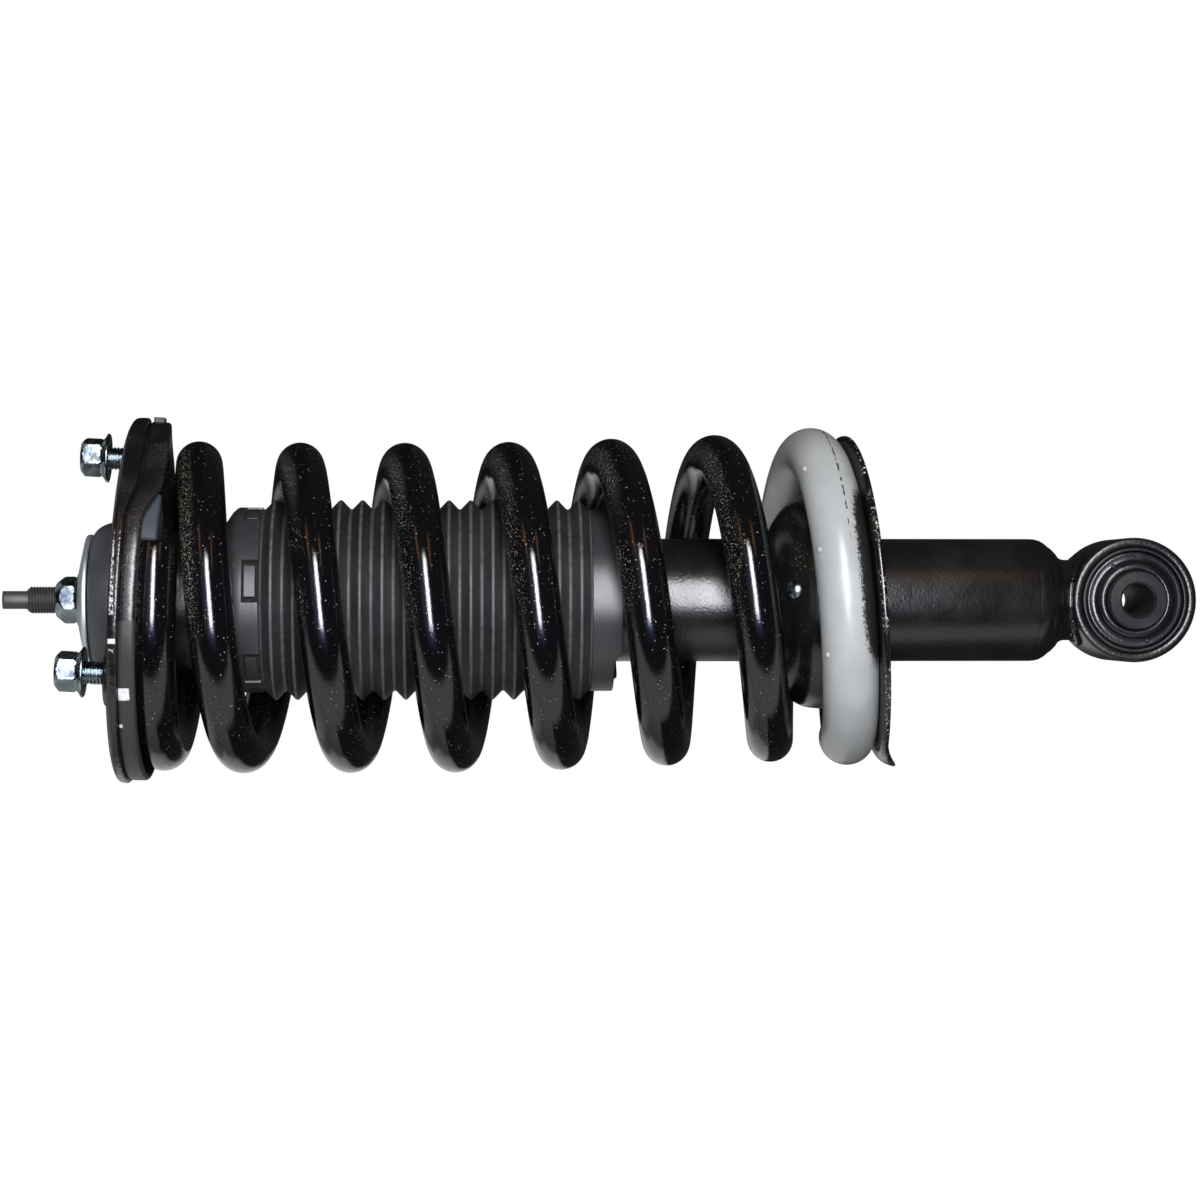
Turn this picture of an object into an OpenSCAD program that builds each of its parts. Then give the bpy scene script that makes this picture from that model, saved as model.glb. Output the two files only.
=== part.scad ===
// Coil-over suspension strut: twin-tube damper, coil spring, dust boot, three-stud top mount and lower bush eye.
// Millimetres. +Z runs up the strut; the origin is the centre of the lower bolt bore, whose axis is Y.

/* [Lower eye and bush] */
// Outer diameter of the welded eye ring
eye_od = 54.4; // [50:0.2:60]
// Wall of the eye ring
eye_wall = 4.3; // [3:0.1:5]
// Width of the eye ring along the bolt
eye_width = 46; // [38:1:50]
// Wall of the bush's outer steel sleeve
bush_shell_wall = 1.6; // [1.2:0.1:2]
// Outer diameter of the inner steel sleeve
bush_core_od = 26; // [22:0.5:28]
// Length of the inner steel sleeve
bush_core_length = 60; // [56:1:66]
// Diameter of the bore for the lower bolt
bolt_bore = 14.2; // [12.2:0.1:16.2]
// How far the rubber is drawn in from the shell's ends
rubber_set_in = 1.6; // [0.8:0.1:3]

/* [Damper body] */
// Outer diameter of the reserve tube
tube_od = 54; // [50:0.5:56]
// Wall of the reserve tube
tube_wall = 2; // [1.6:0.1:2.6]
// Height of the reserve tube's lower end above the bolt
tube_bottom = 35; // [33:0.5:38]
// Height of the reserve tube's upper end
tube_top = 262; // [254:1:264]
// Diameter of the base cap's neck that stands on the eye
neck_od = 35.6; // [30:0.2:38]
// Outer diameter of the pressure tube
pressure_od = 36; // [34:0.5:40]
// Wall of the pressure tube
pressure_wall = 1.5; // [1.2:0.1:2]
// Thickness of the rod guide's flange
guide_flange = 12; // [8:1:14]
// Depth of the rod guide's spigot inside the pressure tube
guide_spigot = 8; // [6:1:12]
// Thickness of the oil seal
seal_thickness = 7; // [5:0.5:8]
// Thickness of the striker cap's top
cap_top = 3; // [2:0.5:4]
// Length of the striker cap's skirt down the tube
cap_skirt = 10; // [6:1:14]

/* [Rod and piston] */
// Diameter of the piston rod
rod_d = 20; // [18:0.5:22]
// Diameter of the rod's reduced pin
pin_d = 14; // [13:0.5:16]
// Outer diameter of the rod's top thread
thread_d = 11.8; // [10:0.1:12]
// Pitch of the rod's top thread
thread_pitch = 1.25; // [1:0.25:1.75]
// Height of the rod's tip above the bolt
rod_tip = 492.8; // [490:0.2:500]
// Length of the flatted tip
tip_length = 11.3; // [8:0.1:12]
// Distance across the tip's flats
tip_flats = 7.8; // [6:0.1:8.5]
// Thickness of the rebound stop
rebound_stop_height = 12; // [8:1:16]
// Height of the piston
piston_height = 15; // [12:1:18]
// Thickness of the valve discs under the piston
valve_stack = 3; // [2:0.5:4]
// Height of the piston nut
piston_nut_height = 8; // [6:1:10]

/* [Coil spring] */
// Diameter of the spring wire
wire_d = 20; // [17:0.2:20.4]
// Radius of the wire's centre line about the strut axis
coil_r = 62.3; // [61:0.2:64]
// Number of turns from end to end
coil_turns = 7.5; // [7.2:0.1:7.7]
// Direction of the wire's upper end, seen from above
coil_start_angle = -67.7; // [-80:0.1:-60]
// Rise per turn of the closed upper end
top_pitch = 8.5; // [6:0.5:10]
// Rise per turn of the open lower end
end_pitch = 26; // [24:1:28]
// Height of the wire's lower end above the bolt
spring_end = 120; // [117:0.5:121]
// Outer diameter of the sleeve on the lowest turn
sleeve_od = 24; // [23.6:0.2:24.4]
// Turns that the sleeve covers
sleeve_turns = 0.96; // [0.6:0.04:1]
// Turns of bare wire between the sleeve and the wire's lower end
sleeve_bare = 0.13; // [0.05:0.04:0.2]
// How far the spring's upper half bows to the side
bow = 3.4; // [0:0.2:3.6]
// How far the lowest turn stands off the axis on the other side
foot_shift = 1.6; // [0:0.2:1.8]
// Lean of the lower turns
foot_lean = 1.2; // [0:0.1:1.4]

/* [Lower spring seat] */
// Sheet thickness of the seat
seat_sheet = 3; // [2:0.5:4]
// Height of the seat's upper edge on the tube
seat_top = 158; // [152:1:159]
// How far the flange reaches out past the wire's centre line
seat_overhang = 10.3; // [9:0.1:12]
// How far the seat's upright wall stands inside the wire's centre line
seat_inset = 14.3; // [14.2:0.1:15]
// Drop of the flange's edge
seat_lip = 3.6; // [3.2:0.1:5]
// How far the bent tab on one side drops below the rest of the edge
tab_drop = 5.5; // [0:0.5:7]
// How far the bent tab flares out
tab_flare = 1.4; // [0:0.2:2]

/* [Top mount] */
// Height of the plate's top face on the strut axis
mount_z = 439.2; // [437:0.2:441]
// Lean of the mount about the bolt's direction
mount_tilt = 2.6; // [0:0.1:3]
// How far the mount plate reaches out past the wire's centre line
plate_overhang = 17.5; // [17:0.1:20]
// Sheet thickness of the mount plate
plate_sheet = 3.2; // [2.6:0.1:3.4]
// Depth of the plate's turned-down rim below its top face
plate_rim = 5.7; // [5:0.1:6]
// Radius of the plate's centre hole
plate_hole_r = 16; // [15.5:0.5:17]
// Height of the raised pads round the studs
pad_height = 1.5; // [1:0.1:2.5]
// Radius of the raised pads
pad_r = 13; // [12:0.5:15]
// Diameter of the circle through the studs
stud_circle = 123; // [118:1:124]
// Number of studs
stud_count = 3; // [2:1:4]
// Diameter of the studs
stud_d = 10; // [8:0.5:10]
// Stud length above the pads
stud_length = 20; // [19.5:0.5:24]
// Clear stud length between pad and nut
stud_clear = 8.8; // [6:0.2:10]
// Rubber thickness between the plate and the spring
insulator_pad = 3.3; // [3:0.1:4]
// Depth of the insulator's outer skirt below the pad
insulator_skirt = 7; // [6:0.2:9]
// Extra depth of the skirt past the wire's end
insulator_drop = 6.5; // [3:0.5:7]
// Depth of the stop block that the wire's end butts against
insulator_stop = 12; // [8:0.5:14]

/* [Stud nuts and rod nut] */
// Across flats of the stud nuts
nut_flats = 15; // [13:0.5:16]
// Flange diameter of the stud nuts
nut_flange_d = 21.6; // [20:0.2:23]
// Height of the stud nuts
nut_height = 12.2; // [11.5:0.1:14]
// Across flats of the rod nut
rod_nut_flats = 18; // [17:0.5:19]
// Flange diameter of the rod nut
rod_nut_flange_d = 23.4; // [22:0.2:25]
// Height of the rod nut
rod_nut_height = 10.5; // [8:0.5:12]

/* [Cushions] */
// Radius of the upper cushion at its foot
cushion_r = 34; // [30:0.5:36]
// Radius of the upper cushion at the washer
cushion_top_r = 26; // [24:0.5:27]
// Radius of the dished upper washer
washer_r = 28.6; // [28:0.2:32]
// Thickness of both washers
washer_sheet = 2.6; // [2:0.1:3]
// Drop of the dished washer's rim
washer_dish = 3; // [0:0.5:3.5]
// Height of the upper cushion above the plate
cushion_height = 17.4; // [15:0.2:19]
// Height of the lower cushion below the plate
lower_cushion_height = 12; // [10:0.5:14]
// Radius of the lower cushion
lower_cushion_r = 31; // [28:0.5:34]
// Wall of the steel spacer between the washers
spacer_wall = 2.8; // [2:0.1:3]

/* [Bump stop and dust boot] */
// Sheet thickness of the bump stop's cup
cup_sheet = 2.5; // [2:0.1:3]
// Outer radius of the bump stop's cup
cup_r = 30; // [29:0.5:31]
// Depth of the cup
cup_depth = 29.4; // [27:0.1:33]
// Radius of the bump stop
bump_r = 25; // [22:0.5:26]
// Length of the bump stop
bump_length = 66; // [60:1:70]
// Outer radius of the boot's snap collar
collar_r = 40.5; // [40:0.5:42]
// Height of the snap collar
collar_height = 13; // [12:0.5:16]
// Height of the bevelled shoulder above the collar
collar_shoulder = 5; // [4:0.5:7]
// Wall of the boot's collar and skirt
boot_wall = 2.4; // [2:0.1:2.8]
// Number of windows round the collar
window_count = 6; // [4:1:7]
// Direction of the first window, seen from above
window_angle = 41.8; // [0:0.1:60]
// Width of a window round the collar
window_w = 18; // [12:0.5:20]
// Height of a window
window_h = 6.4; // [5:0.2:7]
// Crest radius of the bellows
bellows_r = 43.8; // [43:0.2:44.6]
// Depth of the bellows' folds
bellows_fold = 4; // [3:0.2:4.6]
// Number of the bellows' folds
bellows_folds = 15; // [12:1:16]
// Rise of one fold
fold_pitch = 9.45; // [9:0.05:9.5]
// Wall of the bellows
bellows_wall = 1.2; // [1:0.1:1.4]
// Outer radius of the boot's lower skirt
skirt_r = 40; // [39:0.5:41]
// Height of the boot's lower skirt
skirt_height = 14.3; // [12:0.1:17]

/* [Clearances] */
// Radial running clearance of rod, piston and bush
running_gap = 0.05; // [0.03:0.01:0.08]
// Gap between pieces that move apart
moving_gap = 0.3; // [0.2:0.05:0.5]
// Gap of the skirt's guide lip round the tube
guide_lip_gap = 0.5; // [0.4:0.1:1]

/* [Hidden] */
$fn = 96;
eps = 0.01;

black_paint = [0.07, 0.07, 0.08];
gloss_black = [0.05, 0.05, 0.06];
boot_grey = [0.2, 0.2, 0.21];
sleeve_grey = [0.66, 0.69, 0.68];
zinc = [0.72, 0.76, 0.8];
steel = [0.6, 0.61, 0.63];
rubber_black = [0.09, 0.09, 0.1];
bronze = [0.65, 0.5, 0.3];
foam = [0.85, 0.8, 0.6];

// Lower eye
eye_r = eye_od / 2;
bush_r = eye_r - eye_wall;
shell_inner_r = bush_r - bush_shell_wall;
core_r = bush_core_od / 2;
core_chamfer = 1;
bore_r = bolt_bore / 2;

// Damper
tube_r = tube_od / 2;
tube_inner_r = tube_r - tube_wall;
neck_r = neck_od / 2;
pressure_r = pressure_od / 2;
pressure_inner_r = pressure_r - pressure_wall;
base_floor = tube_bottom + 3;
valve_height = 12;
valve_flange = 5;
guide_top = tube_top - seal_thickness - 2;
pressure_top = guide_top - guide_flange;
pressure_bottom = base_floor + valve_flange;
guide_bore_r = rod_d / 2 + 1.5;
rod_r = rod_d / 2;
cap_r = tube_r + 1.6;
cap_top_z = tube_top + cap_top;

// Rod and piston
stop_top = pressure_top - guide_spigot - moving_gap;
piston_top = stop_top - rebound_stop_height;
piston_bottom = piston_top - piston_height;
tail_r = 6;
band_depth = 1;
band_inset = 3;
port_ring_r = (tail_r + pressure_inner_r) / 2;
disc_r = pressure_inner_r - 3.5;
rod_end = piston_bottom - valve_stack - piston_nut_height - 2;
stop_r = 14;

// Top stack along the strut axis
washer_seat_z = mount_z + cushion_height;
rod_nut_z = washer_seat_z + washer_sheet;
lower_washer_top = mount_z - plate_sheet - lower_cushion_height;
shoulder_z = lower_washer_top - washer_sheet;
thread_start = rod_nut_z - 1;
tip_start = rod_tip - tip_length;
spacer_r = pin_d / 2 + spacer_wall;
washer_hub_r = pin_d / 2 + 7;

// Studs in the mount's own frame, whose origin is on the strut axis at the plate's top face
stud_r = stud_d / 2;
stud_core_r = stud_r - 0.1;
stud_knurl_r = stud_r + 0.4;
stud_ring_r = stud_circle / 2;
stud_head_r = stud_r + 3;
stud_head = 2.4;
nut_z = pad_height + stud_clear;
plate_r = coil_r + plate_overhang;

// Spring: t counts turns down from the wire's upper end
wire_r = wire_d / 2;
sleeve_r = sleeve_od / 2;
top_run = 0.5;
top_ramp_end = 0.8;
end_ramp_start = coil_turns - 1.2;
end_ramp_end = coil_turns - 0.4;
wire_top = mount_z - plate_sheet - insulator_pad;
pad_gap = 0.1;
spring_start = wire_top - wire_r - pad_gap;
spring_drop = spring_start - spring_end;
top_share = top_run + (top_ramp_end - top_run) / 2;
end_share = (end_ramp_end - end_ramp_start) / 2 + coil_turns - end_ramp_end;
main_share = coil_turns - top_share - end_share;
main_pitch = (spring_drop - top_pitch * top_share - end_pitch * end_share) / main_share;
tilt_fade_turns = 2;
rings_per_turn = 24;
wire_sides = 6;

function clamp01(u) = min(max(u, 0), 1);
function smooth(u) = let(v = clamp01(u)) v * v * (3 - 2 * v);
function spent(t, from, to) = min(max(t - from, 0), to - from);
function ramp_drop(u, length, pitch_a, pitch_b) = pitch_a * u + (pitch_b - pitch_a) * u * u / (2 * length);
function coil_drop(t) =
    top_pitch * spent(t, 0, top_run)
    + ramp_drop(spent(t, top_run, top_ramp_end), top_ramp_end - top_run, top_pitch, main_pitch)
    + main_pitch * spent(t, top_ramp_end, end_ramp_start)
    + ramp_drop(spent(t, end_ramp_start, end_ramp_end), end_ramp_end - end_ramp_start, main_pitch, end_pitch)
    + end_pitch * spent(t, end_ramp_end, coil_turns);
function coil_angle(t) = coil_start_angle - 360 * t;
function coil_lean(t) =
    coil_r * cos(coil_angle(t))
    * (tan(mount_tilt) * (1 - smooth(t / tilt_fade_turns)) - tan(foot_lean) * smooth((t - 3) / 2.5));
function coil_bow(t) = (bow + foot_shift) * smooth((t - 3) / 4.2) - bow * (0.6 + 0.4 * smooth(t / 1.3));
function coil_z(t) = spring_start - coil_drop(t) - coil_lean(t);
function coil_point(t) = [coil_r * cos(coil_angle(t)) + coil_bow(t), coil_r * sin(coil_angle(t)), coil_z(t)];

// Lower seat: the flange follows the sleeve's underside over most of a turn and then climbs back
seat_inner_r = tube_r + 0.06;
seat_r = coil_r + seat_overhang;
seat_wall_r = coil_r - seat_inset;
seat_steps = 60;
ramp_span = 250;
coil_end_angle = coil_angle(coil_turns);
function seat_ramp_z(span) = coil_z(coil_turns - span / 360) - sleeve_r - moving_gap;
function seat_z(angle) =
    let(span = (angle - coil_end_angle) % 360, turned = span < 0 ? span + 360 : span)
    turned <= ramp_span
        ? seat_ramp_z(turned)
        : seat_ramp_z(ramp_span)
          + (seat_ramp_z(0) - seat_ramp_z(ramp_span)) * smooth((turned - ramp_span) / (360 - ramp_span));
spring_gap = min([
    for (i = [0:2:coil_turns * rings_per_turn])
        for (j = [i + rings_per_turn * 3 / 4:1:coil_turns * rings_per_turn])
            norm(coil_point(i / rings_per_turn) - coil_point(j / rings_per_turn))
]) - wire_d;

// Bump stop and boot
cup_top = shoulder_z;
cup_bottom = cup_top - cup_depth;
bump_top = cup_top - cup_sheet;
bump_bottom = bump_top - bump_length;
cup_lip_r = collar_r - boot_wall - 0.1;
cup_lip = 3;
shoulder_top = cup_bottom + collar_shoulder;
collar_bottom = cup_bottom - collar_height;
bellows_length = bellows_folds * fold_pitch;
bellows_bottom = collar_bottom - bellows_length;
skirt_bottom = bellows_bottom - skirt_height;
valley_r = bellows_r - bellows_fold;
window_bottom = collar_bottom + 1.1;

echo(main_pitch = main_pitch);
echo(least_spring_gap_mm = spring_gap);

// A closed skin over rings of points; ends are capped unless the rings close on themselves
module skin(rings, looped = false) {
    count = len(rings);
    sides = len(rings[0]);
    last = looped ? count - 1 : count - 2;
    walls = [
        for (i = [0:last])
            for (j = [0:sides - 1])
                let(
                    a = i * sides + j,
                    b = i * sides + (j + 1) % sides,
                    c = ((i + 1) % count) * sides + (j + 1) % sides,
                    d = ((i + 1) % count) * sides + j
                )
                each [[a, b, c], [a, c, d]]
    ];
    caps = looped ? [] : [
        for (j = [1:sides - 2])
            each [[0, j + 1, j], [(count - 1) * sides, (count - 1) * sides + j, (count - 1) * sides + j + 1]]
    ];
    polyhedron(points = [for (ring = rings) each ring], faces = concat(walls, caps), convexity = 10);
}

// One ring of points round the wire's centre line, square to the wire
function wire_ring(t, r) =
    let(
        angle = coil_angle(t),
        fall = -(coil_drop(t + 0.005) - coil_drop(t - 0.005)) / 0.01 / (2 * PI),
        radial = [cos(angle), sin(angle), 0],
        upward = [-sin(angle) * fall, cos(angle) * fall, coil_r] / norm([fall, coil_r])
    )
    [for (k = [0:wire_sides - 1])
        coil_point(t) + r * (cos(30 + k * 60) * radial + sin(30 + k * 60) * upward)];

function on_ring(t) = round(t * rings_per_turn) / rings_per_turn;
function turn_steps(from, to) = [for (i = [0:1:round((to - from) * rings_per_turn)]) from + i / rings_per_turn];

module in_mount() {
    translate([0, 0, mount_z]) rotate([0, mount_tilt, 0]) children();
}

module at_studs() {
    for (i = [0:stud_count - 1])
        rotate([0, 0, i * 360 / stud_count]) translate([stud_ring_r, 0, 0]) children();
}

module ring(outer, inner, bottom, top) {
    translate([0, 0, bottom])
        difference() {
            cylinder(r = outer, h = top - bottom);
            translate([0, 0, -1]) cylinder(r = inner, h = top - bottom + 2);
        }
}

module along_bolt() {
    rotate([90, 0, 0]) children();
}

module hex_prism(flats, height) {
    cylinder(r = flats / 2 / cos(30), h = height, $fn = 6);
}

// Flanged hexagon nut standing on z = 0 with a bevelled crown
module flange_nut(flats, flange_d, height, hole_r) {
    flange_edge = 1.2;
    flange_rise = 3.2;
    crown = 2.4;
    corner_r = flats / 2 / cos(30);
    difference() {
        union() {
            cylinder(r = flange_d / 2, h = flange_edge);
            translate([0, 0, flange_edge])
                cylinder(r1 = flange_d / 2, r2 = flats / 2, h = flange_rise - flange_edge);
            intersection() {
                hex_prism(flats, height);
                union() {
                    cylinder(r = corner_r + 1, h = height - crown);
                    translate([0, 0, height - crown])
                        cylinder(r1 = corner_r, r2 = flats / 2 - 1.2, h = crown);
                }
            }
        }
        translate([0, 0, -1]) cylinder(r = hole_r, h = height + 2);
    }
}

// ---------------------------------------------------------------- lower eye and bush

module bush_inner_sleeve() {
    half = bush_core_length / 2;
    color(steel) along_bolt()
        rotate_extrude()
            polygon([
                [bore_r, -half + core_chamfer], [bore_r + core_chamfer, -half],
                [core_r - core_chamfer, -half], [core_r, -half + core_chamfer],
                [core_r, half - core_chamfer], [core_r - core_chamfer, half],
                [bore_r + core_chamfer, half], [bore_r, half - core_chamfer]
            ]);
}

module eye_ring() {
    color(black_paint) along_bolt() ring(eye_r, bush_r, -eye_width / 2, eye_width / 2);
}

module bush_outer_sleeve() {
    color(steel) along_bolt() ring(bush_r, shell_inner_r, -eye_width / 2 - 0.6, eye_width / 2 + 0.6);
}

module bush_rubber() {
    half = eye_width / 2 - rubber_set_in;
    crest_r = (shell_inner_r + core_r) / 2 + 1.2;
    rise = 5;
    hole_r = core_r + 2 * running_gap;
    color(rubber_black) along_bolt()
        rotate_extrude()
            polygon([
                [hole_r, -half - rise], [crest_r, -half - rise + 1], [crest_r + 1.5, -half - 1],
                [shell_inner_r, -half], [shell_inner_r, half], [crest_r + 1.5, half + 1],
                [crest_r, half + rise - 1], [hole_r, half + rise]
            ]);
}

module eye_weld() {
    bead = 2.4;
    color(black_paint)
        difference() {
            intersection() {
                cylinder(r = neck_r + bead, h = neck_top() - 0.1);
                along_bolt() cylinder(r = eye_r + bead, h = eye_width, center = true);
            }
            translate([0, 0, -1]) cylinder(r = neck_r, h = tube_bottom + 1);
            along_bolt() cylinder(r = eye_r, h = eye_width + 2, center = true);
        }
}

// ---------------------------------------------------------------- damper body

function neck_top() = tube_bottom - 5.5;

module base_cap() {
    inner_r = tube_inner_r;
    color(black_paint)
        difference() {
            rotate_extrude()
                polygon([
                    [0, 0], [neck_r, 0], [neck_r, neck_top()], [tube_r - 4, neck_top() + 0.9],
                    [tube_r - 1.2, neck_top() + 2.8], [tube_r, tube_bottom], [inner_r, tube_bottom],
                    [inner_r, base_floor + 6], [inner_r - 2, base_floor + 6],
                    [inner_r - 4, base_floor], [0, base_floor]
                ]);
            along_bolt() cylinder(r = eye_r, h = eye_width + 20, center = true);
        }
}

module base_valve_body() {
    color(steel)
        difference() {
            union() {
                ring(pressure_inner_r, 3, base_floor, base_floor + valve_height);
                ring(pressure_r, 3, base_floor, pressure_bottom);
            }
            for (i = [0:5])
                rotate([0, 0, i * 60]) translate([10, 0, base_floor - 1]) cylinder(r = 2, h = valve_height + 2);
        }
}

module base_valve_discs() {
    top = base_floor + valve_height;
    color(bronze) {
        ring(13, 2.5, top, top + 1.5);
        translate([0, 0, base_floor + 1]) cylinder(r = 2.5, h = valve_height + 2);
    }
}

module reserve_tube() {
    color(black_paint) ring(tube_r, tube_inner_r, tube_bottom, tube_top);
}

module pressure_tube() {
    color(steel) ring(pressure_r, pressure_inner_r, pressure_bottom, pressure_top);
}

module rod_guide() {
    color(steel)
        difference() {
            union() {
                ring(tube_inner_r, guide_bore_r, pressure_top, guide_top);
                ring(pressure_inner_r, guide_bore_r, pressure_top - guide_spigot, pressure_top);
            }
            for (i = [0:3])
                rotate([0, 0, i * 90]) translate([21, 0, pressure_top - 1]) cylinder(r = 1.5, h = guide_flange + 2);
        }
}

module guide_bushing() {
    color(bronze) ring(guide_bore_r, rod_r + running_gap, pressure_top - guide_spigot, guide_top);
}

module oil_seal() {
    color(rubber_black)
        translate([0, 0, guide_top])
            rotate_extrude()
                polygon([
                    [rod_r + running_gap, 2], [rod_r + 1.5, 0], [tube_inner_r, 0],
                    [tube_inner_r, seal_thickness], [rod_r + 2.5, seal_thickness],
                    [rod_r + running_gap, seal_thickness - 1]
                ]);
}

module striker_cap() {
    color(steel) {
        ring(cap_r, rod_r + 2, tube_top, cap_top_z);
        ring(cap_r, tube_r, tube_top - cap_skirt, tube_top);
        ring(tube_inner_r, rod_r + 2.5, tube_top - 2, tube_top);
    }
}

// ---------------------------------------------------------------- lower spring seat

function seat_section(angle) =
    let(
        z = seat_z(angle),
        s = seat_sheet,
        r = seat_wall_r,
        tab = smooth(1 - abs(angle - 180) / 30),
        lip_r = seat_r + tab_flare * tab,
        lip = seat_lip + tab_drop * tab,
        top = seat_top
    )
    [
        [seat_inner_r, top], [seat_inner_r + 6, top - 1.5], [r - 7.8, top - 6], [r - 2.3, top - 12],
        [r, top - 17], [r, z + 5], [r + 1.5, z + 1.2], [r + 4, z], [seat_r - 4.5 * tab - 2.5, z],
        [seat_r - 0.6 - tab, z - 0.9 - tab], [lip_r, z - lip], [lip_r - s + 0.9, z - lip - 0.5],
        [seat_r - s - 1.4 - 2 * tab, z - s - 0.3], [seat_r - s - 4 - 2 * tab, z - s], [r + 3, z - s],
        [r - s + 1, z - s + 1.5], [r - s, z + 3.5],
        [r - s, top - 17.5], [r - s - 2, top - 13.5], [r - 9.3, top - 8.6],
        [seat_inner_r + 5.2, top - s - 1.6], [seat_inner_r, top - s]
    ];

module lower_spring_seat() {
    dimple_r = 5.5;
    color(black_paint)
        difference() {
            skin([
                for (i = [0:seat_steps - 1])
                    let(angle = i * 360 / seat_steps)
                    [for (p = seat_section(angle)) [p[0] * cos(angle), p[0] * sin(angle), p[1]]]
            ], looped = true);
            rotate([0, 0, -90])
                translate([(seat_inner_r + seat_wall_r) / 2 - 1, 0, seat_top - seat_sheet - 8])
                    cylinder(r = dimple_r, h = 20);
        }
}

module seat_weld() {
    bead = 2.4;
    color(black_paint)
        translate([0, 0, seat_top])
            rotate_extrude() polygon([[tube_r, 0], [tube_r + bead, 0], [tube_r + bead / 2, bead / 2], [tube_r, bead]]);
}

// ---------------------------------------------------------------- spring

module coil_spring() {
    color(gloss_black) skin([for (t = turn_steps(0, coil_turns)) wire_ring(t, wire_r)]);
}

module spring_sleeve() {
    last = on_ring(coil_turns - sleeve_bare);
    steps = turn_steps(last - on_ring(sleeve_turns), last);
    count = len(steps);
    outer = [for (t = steps) wire_ring(t, sleeve_r)];
    inner = [for (t = steps) wire_ring(t, wire_r)];
    // out along the outside and back along the wire, closed on itself
    color(sleeve_grey)
        skin([
            for (k = [0:wire_sides - 1])
                concat([for (i = [0:count - 1]) outer[i][k]], [for (i = [count - 1:-1:0]) inner[i][k]])
        ], looped = true);
}

// ---------------------------------------------------------------- rod and piston

module piston_rod() {
    ridge = 0.6 * thread_pitch;
    turns = floor((tip_start - thread_start) / thread_pitch);
    color(steel)
        difference() {
            union() {
                translate([0, 0, rod_end]) cylinder(r = tail_r, h = piston_top - rod_end);
                translate([0, 0, piston_top]) cylinder(r = rod_r, h = shoulder_z - piston_top);
                translate([0, 0, shoulder_z]) cylinder(r = pin_d / 2, h = thread_start - shoulder_z);
                translate([0, 0, thread_start]) cylinder(r = thread_d / 2 - ridge, h = tip_start - thread_start + 1);
                translate([0, 0, thread_start])
                    rotate_extrude()
                        polygon([
                            [0, 0],
                            for (i = [0:turns - 1]) each [
                                [thread_d / 2 - ridge, i * thread_pitch],
                                [thread_d / 2, (i + 0.5) * thread_pitch]
                            ],
                            [thread_d / 2 - ridge, turns * thread_pitch], [0, turns * thread_pitch]
                        ]);
                translate([0, 0, tip_start]) cylinder(r = thread_d / 2 - ridge, h = tip_length);
            }
            for (side = [-1, 1])
                translate([side * (tip_flats / 2 + 5), 0, tip_start + tip_length / 2 + 1])
                    cube([10, thread_d + 2, tip_length + eps], center = true);
        }
}

module rebound_stop() {
    color(steel) ring(stop_r, rod_r, piston_top, stop_top - 2);
    color(rubber_black) ring(stop_r - 0.5, rod_r, stop_top - 2, stop_top);
}

module piston() {
    port_r = 1.6;
    color(steel)
        difference() {
            ring(pressure_inner_r - moving_gap, tail_r, piston_bottom, piston_top);
            ring(
                pressure_inner_r + 1, pressure_inner_r - moving_gap - band_depth,
                piston_bottom + band_inset, piston_top - band_inset
            );
            for (i = [0:7])
                rotate([0, 0, i * 45])
                    translate([port_ring_r, 0, piston_bottom - 1]) cylinder(r = port_r, h = piston_height + 2);
        }
}

module piston_band() {
    color(bronze)
        ring(
            pressure_inner_r - running_gap, pressure_inner_r - moving_gap - band_depth,
            piston_bottom + band_inset, piston_top - band_inset
        );
}

module valve_discs() {
    color(bronze) ring(disc_r, tail_r, piston_bottom - valve_stack, piston_bottom);
}

module piston_nut() {
    color(steel)
        translate([0, 0, piston_bottom - valve_stack - piston_nut_height])
            difference() {
                hex_prism(18, piston_nut_height);
                translate([0, 0, -1]) cylinder(r = tail_r, h = piston_nut_height + 2);
            }
}

// ---------------------------------------------------------------- top mount

module lower_washer() {
    color(steel) ring(lower_cushion_r, pin_d / 2, shoulder_z, lower_washer_top);
}

module cushion_spacer() {
    color(steel) ring(spacer_r, pin_d / 2, lower_washer_top, washer_seat_z);
}

module lower_cushion() {
    bulge = 1.5;
    color(rubber_black)
        difference() {
            rotate_extrude()
                polygon([
                    [spacer_r, lower_washer_top], [lower_cushion_r - 2, lower_washer_top],
                    [lower_cushion_r, lower_washer_top + 3], [lower_cushion_r + bulge, mount_z - plate_sheet - 5],
                    [lower_cushion_r, mount_z + 5], [spacer_r, mount_z + 5]
                ]);
            in_mount() translate([-plate_r, -plate_r, -plate_sheet - 0.15]) cube([2 * plate_r, 2 * plate_r, plate_r]);
        }
}

module upper_cushion() {
    seat = washer_seat_z;
    spigot_r = plate_hole_r - 0.5;
    foot = 3.5;
    crown = cushion_height - washer_dish - foot;
    color(rubber_black) {
        difference() {
            rotate_extrude()
                polygon(concat(
                    [[spacer_r, mount_z - 5], [cushion_r, mount_z - 5], [cushion_r, mount_z + foot]],
                    [for (a = [0:15:90]) [
                        cushion_top_r + (cushion_r - cushion_top_r) * cos(a),
                        mount_z + foot + crown * sin(a)
                    ]],
                    [[washer_hub_r, seat], [spacer_r, seat]]
                ));
            in_mount() translate([-plate_r, -plate_r, 0.15 - plate_r]) cube([2 * plate_r, 2 * plate_r, plate_r]);
        }
        difference() {
            ring(spigot_r, spacer_r, mount_z - plate_sheet + 0.2, mount_z + 3);
            in_mount()
                translate([-plate_r, -plate_r, -plate_sheet + 0.1 - plate_r]) cube([2 * plate_r, 2 * plate_r, plate_r]);
        }
    }
}

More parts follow.
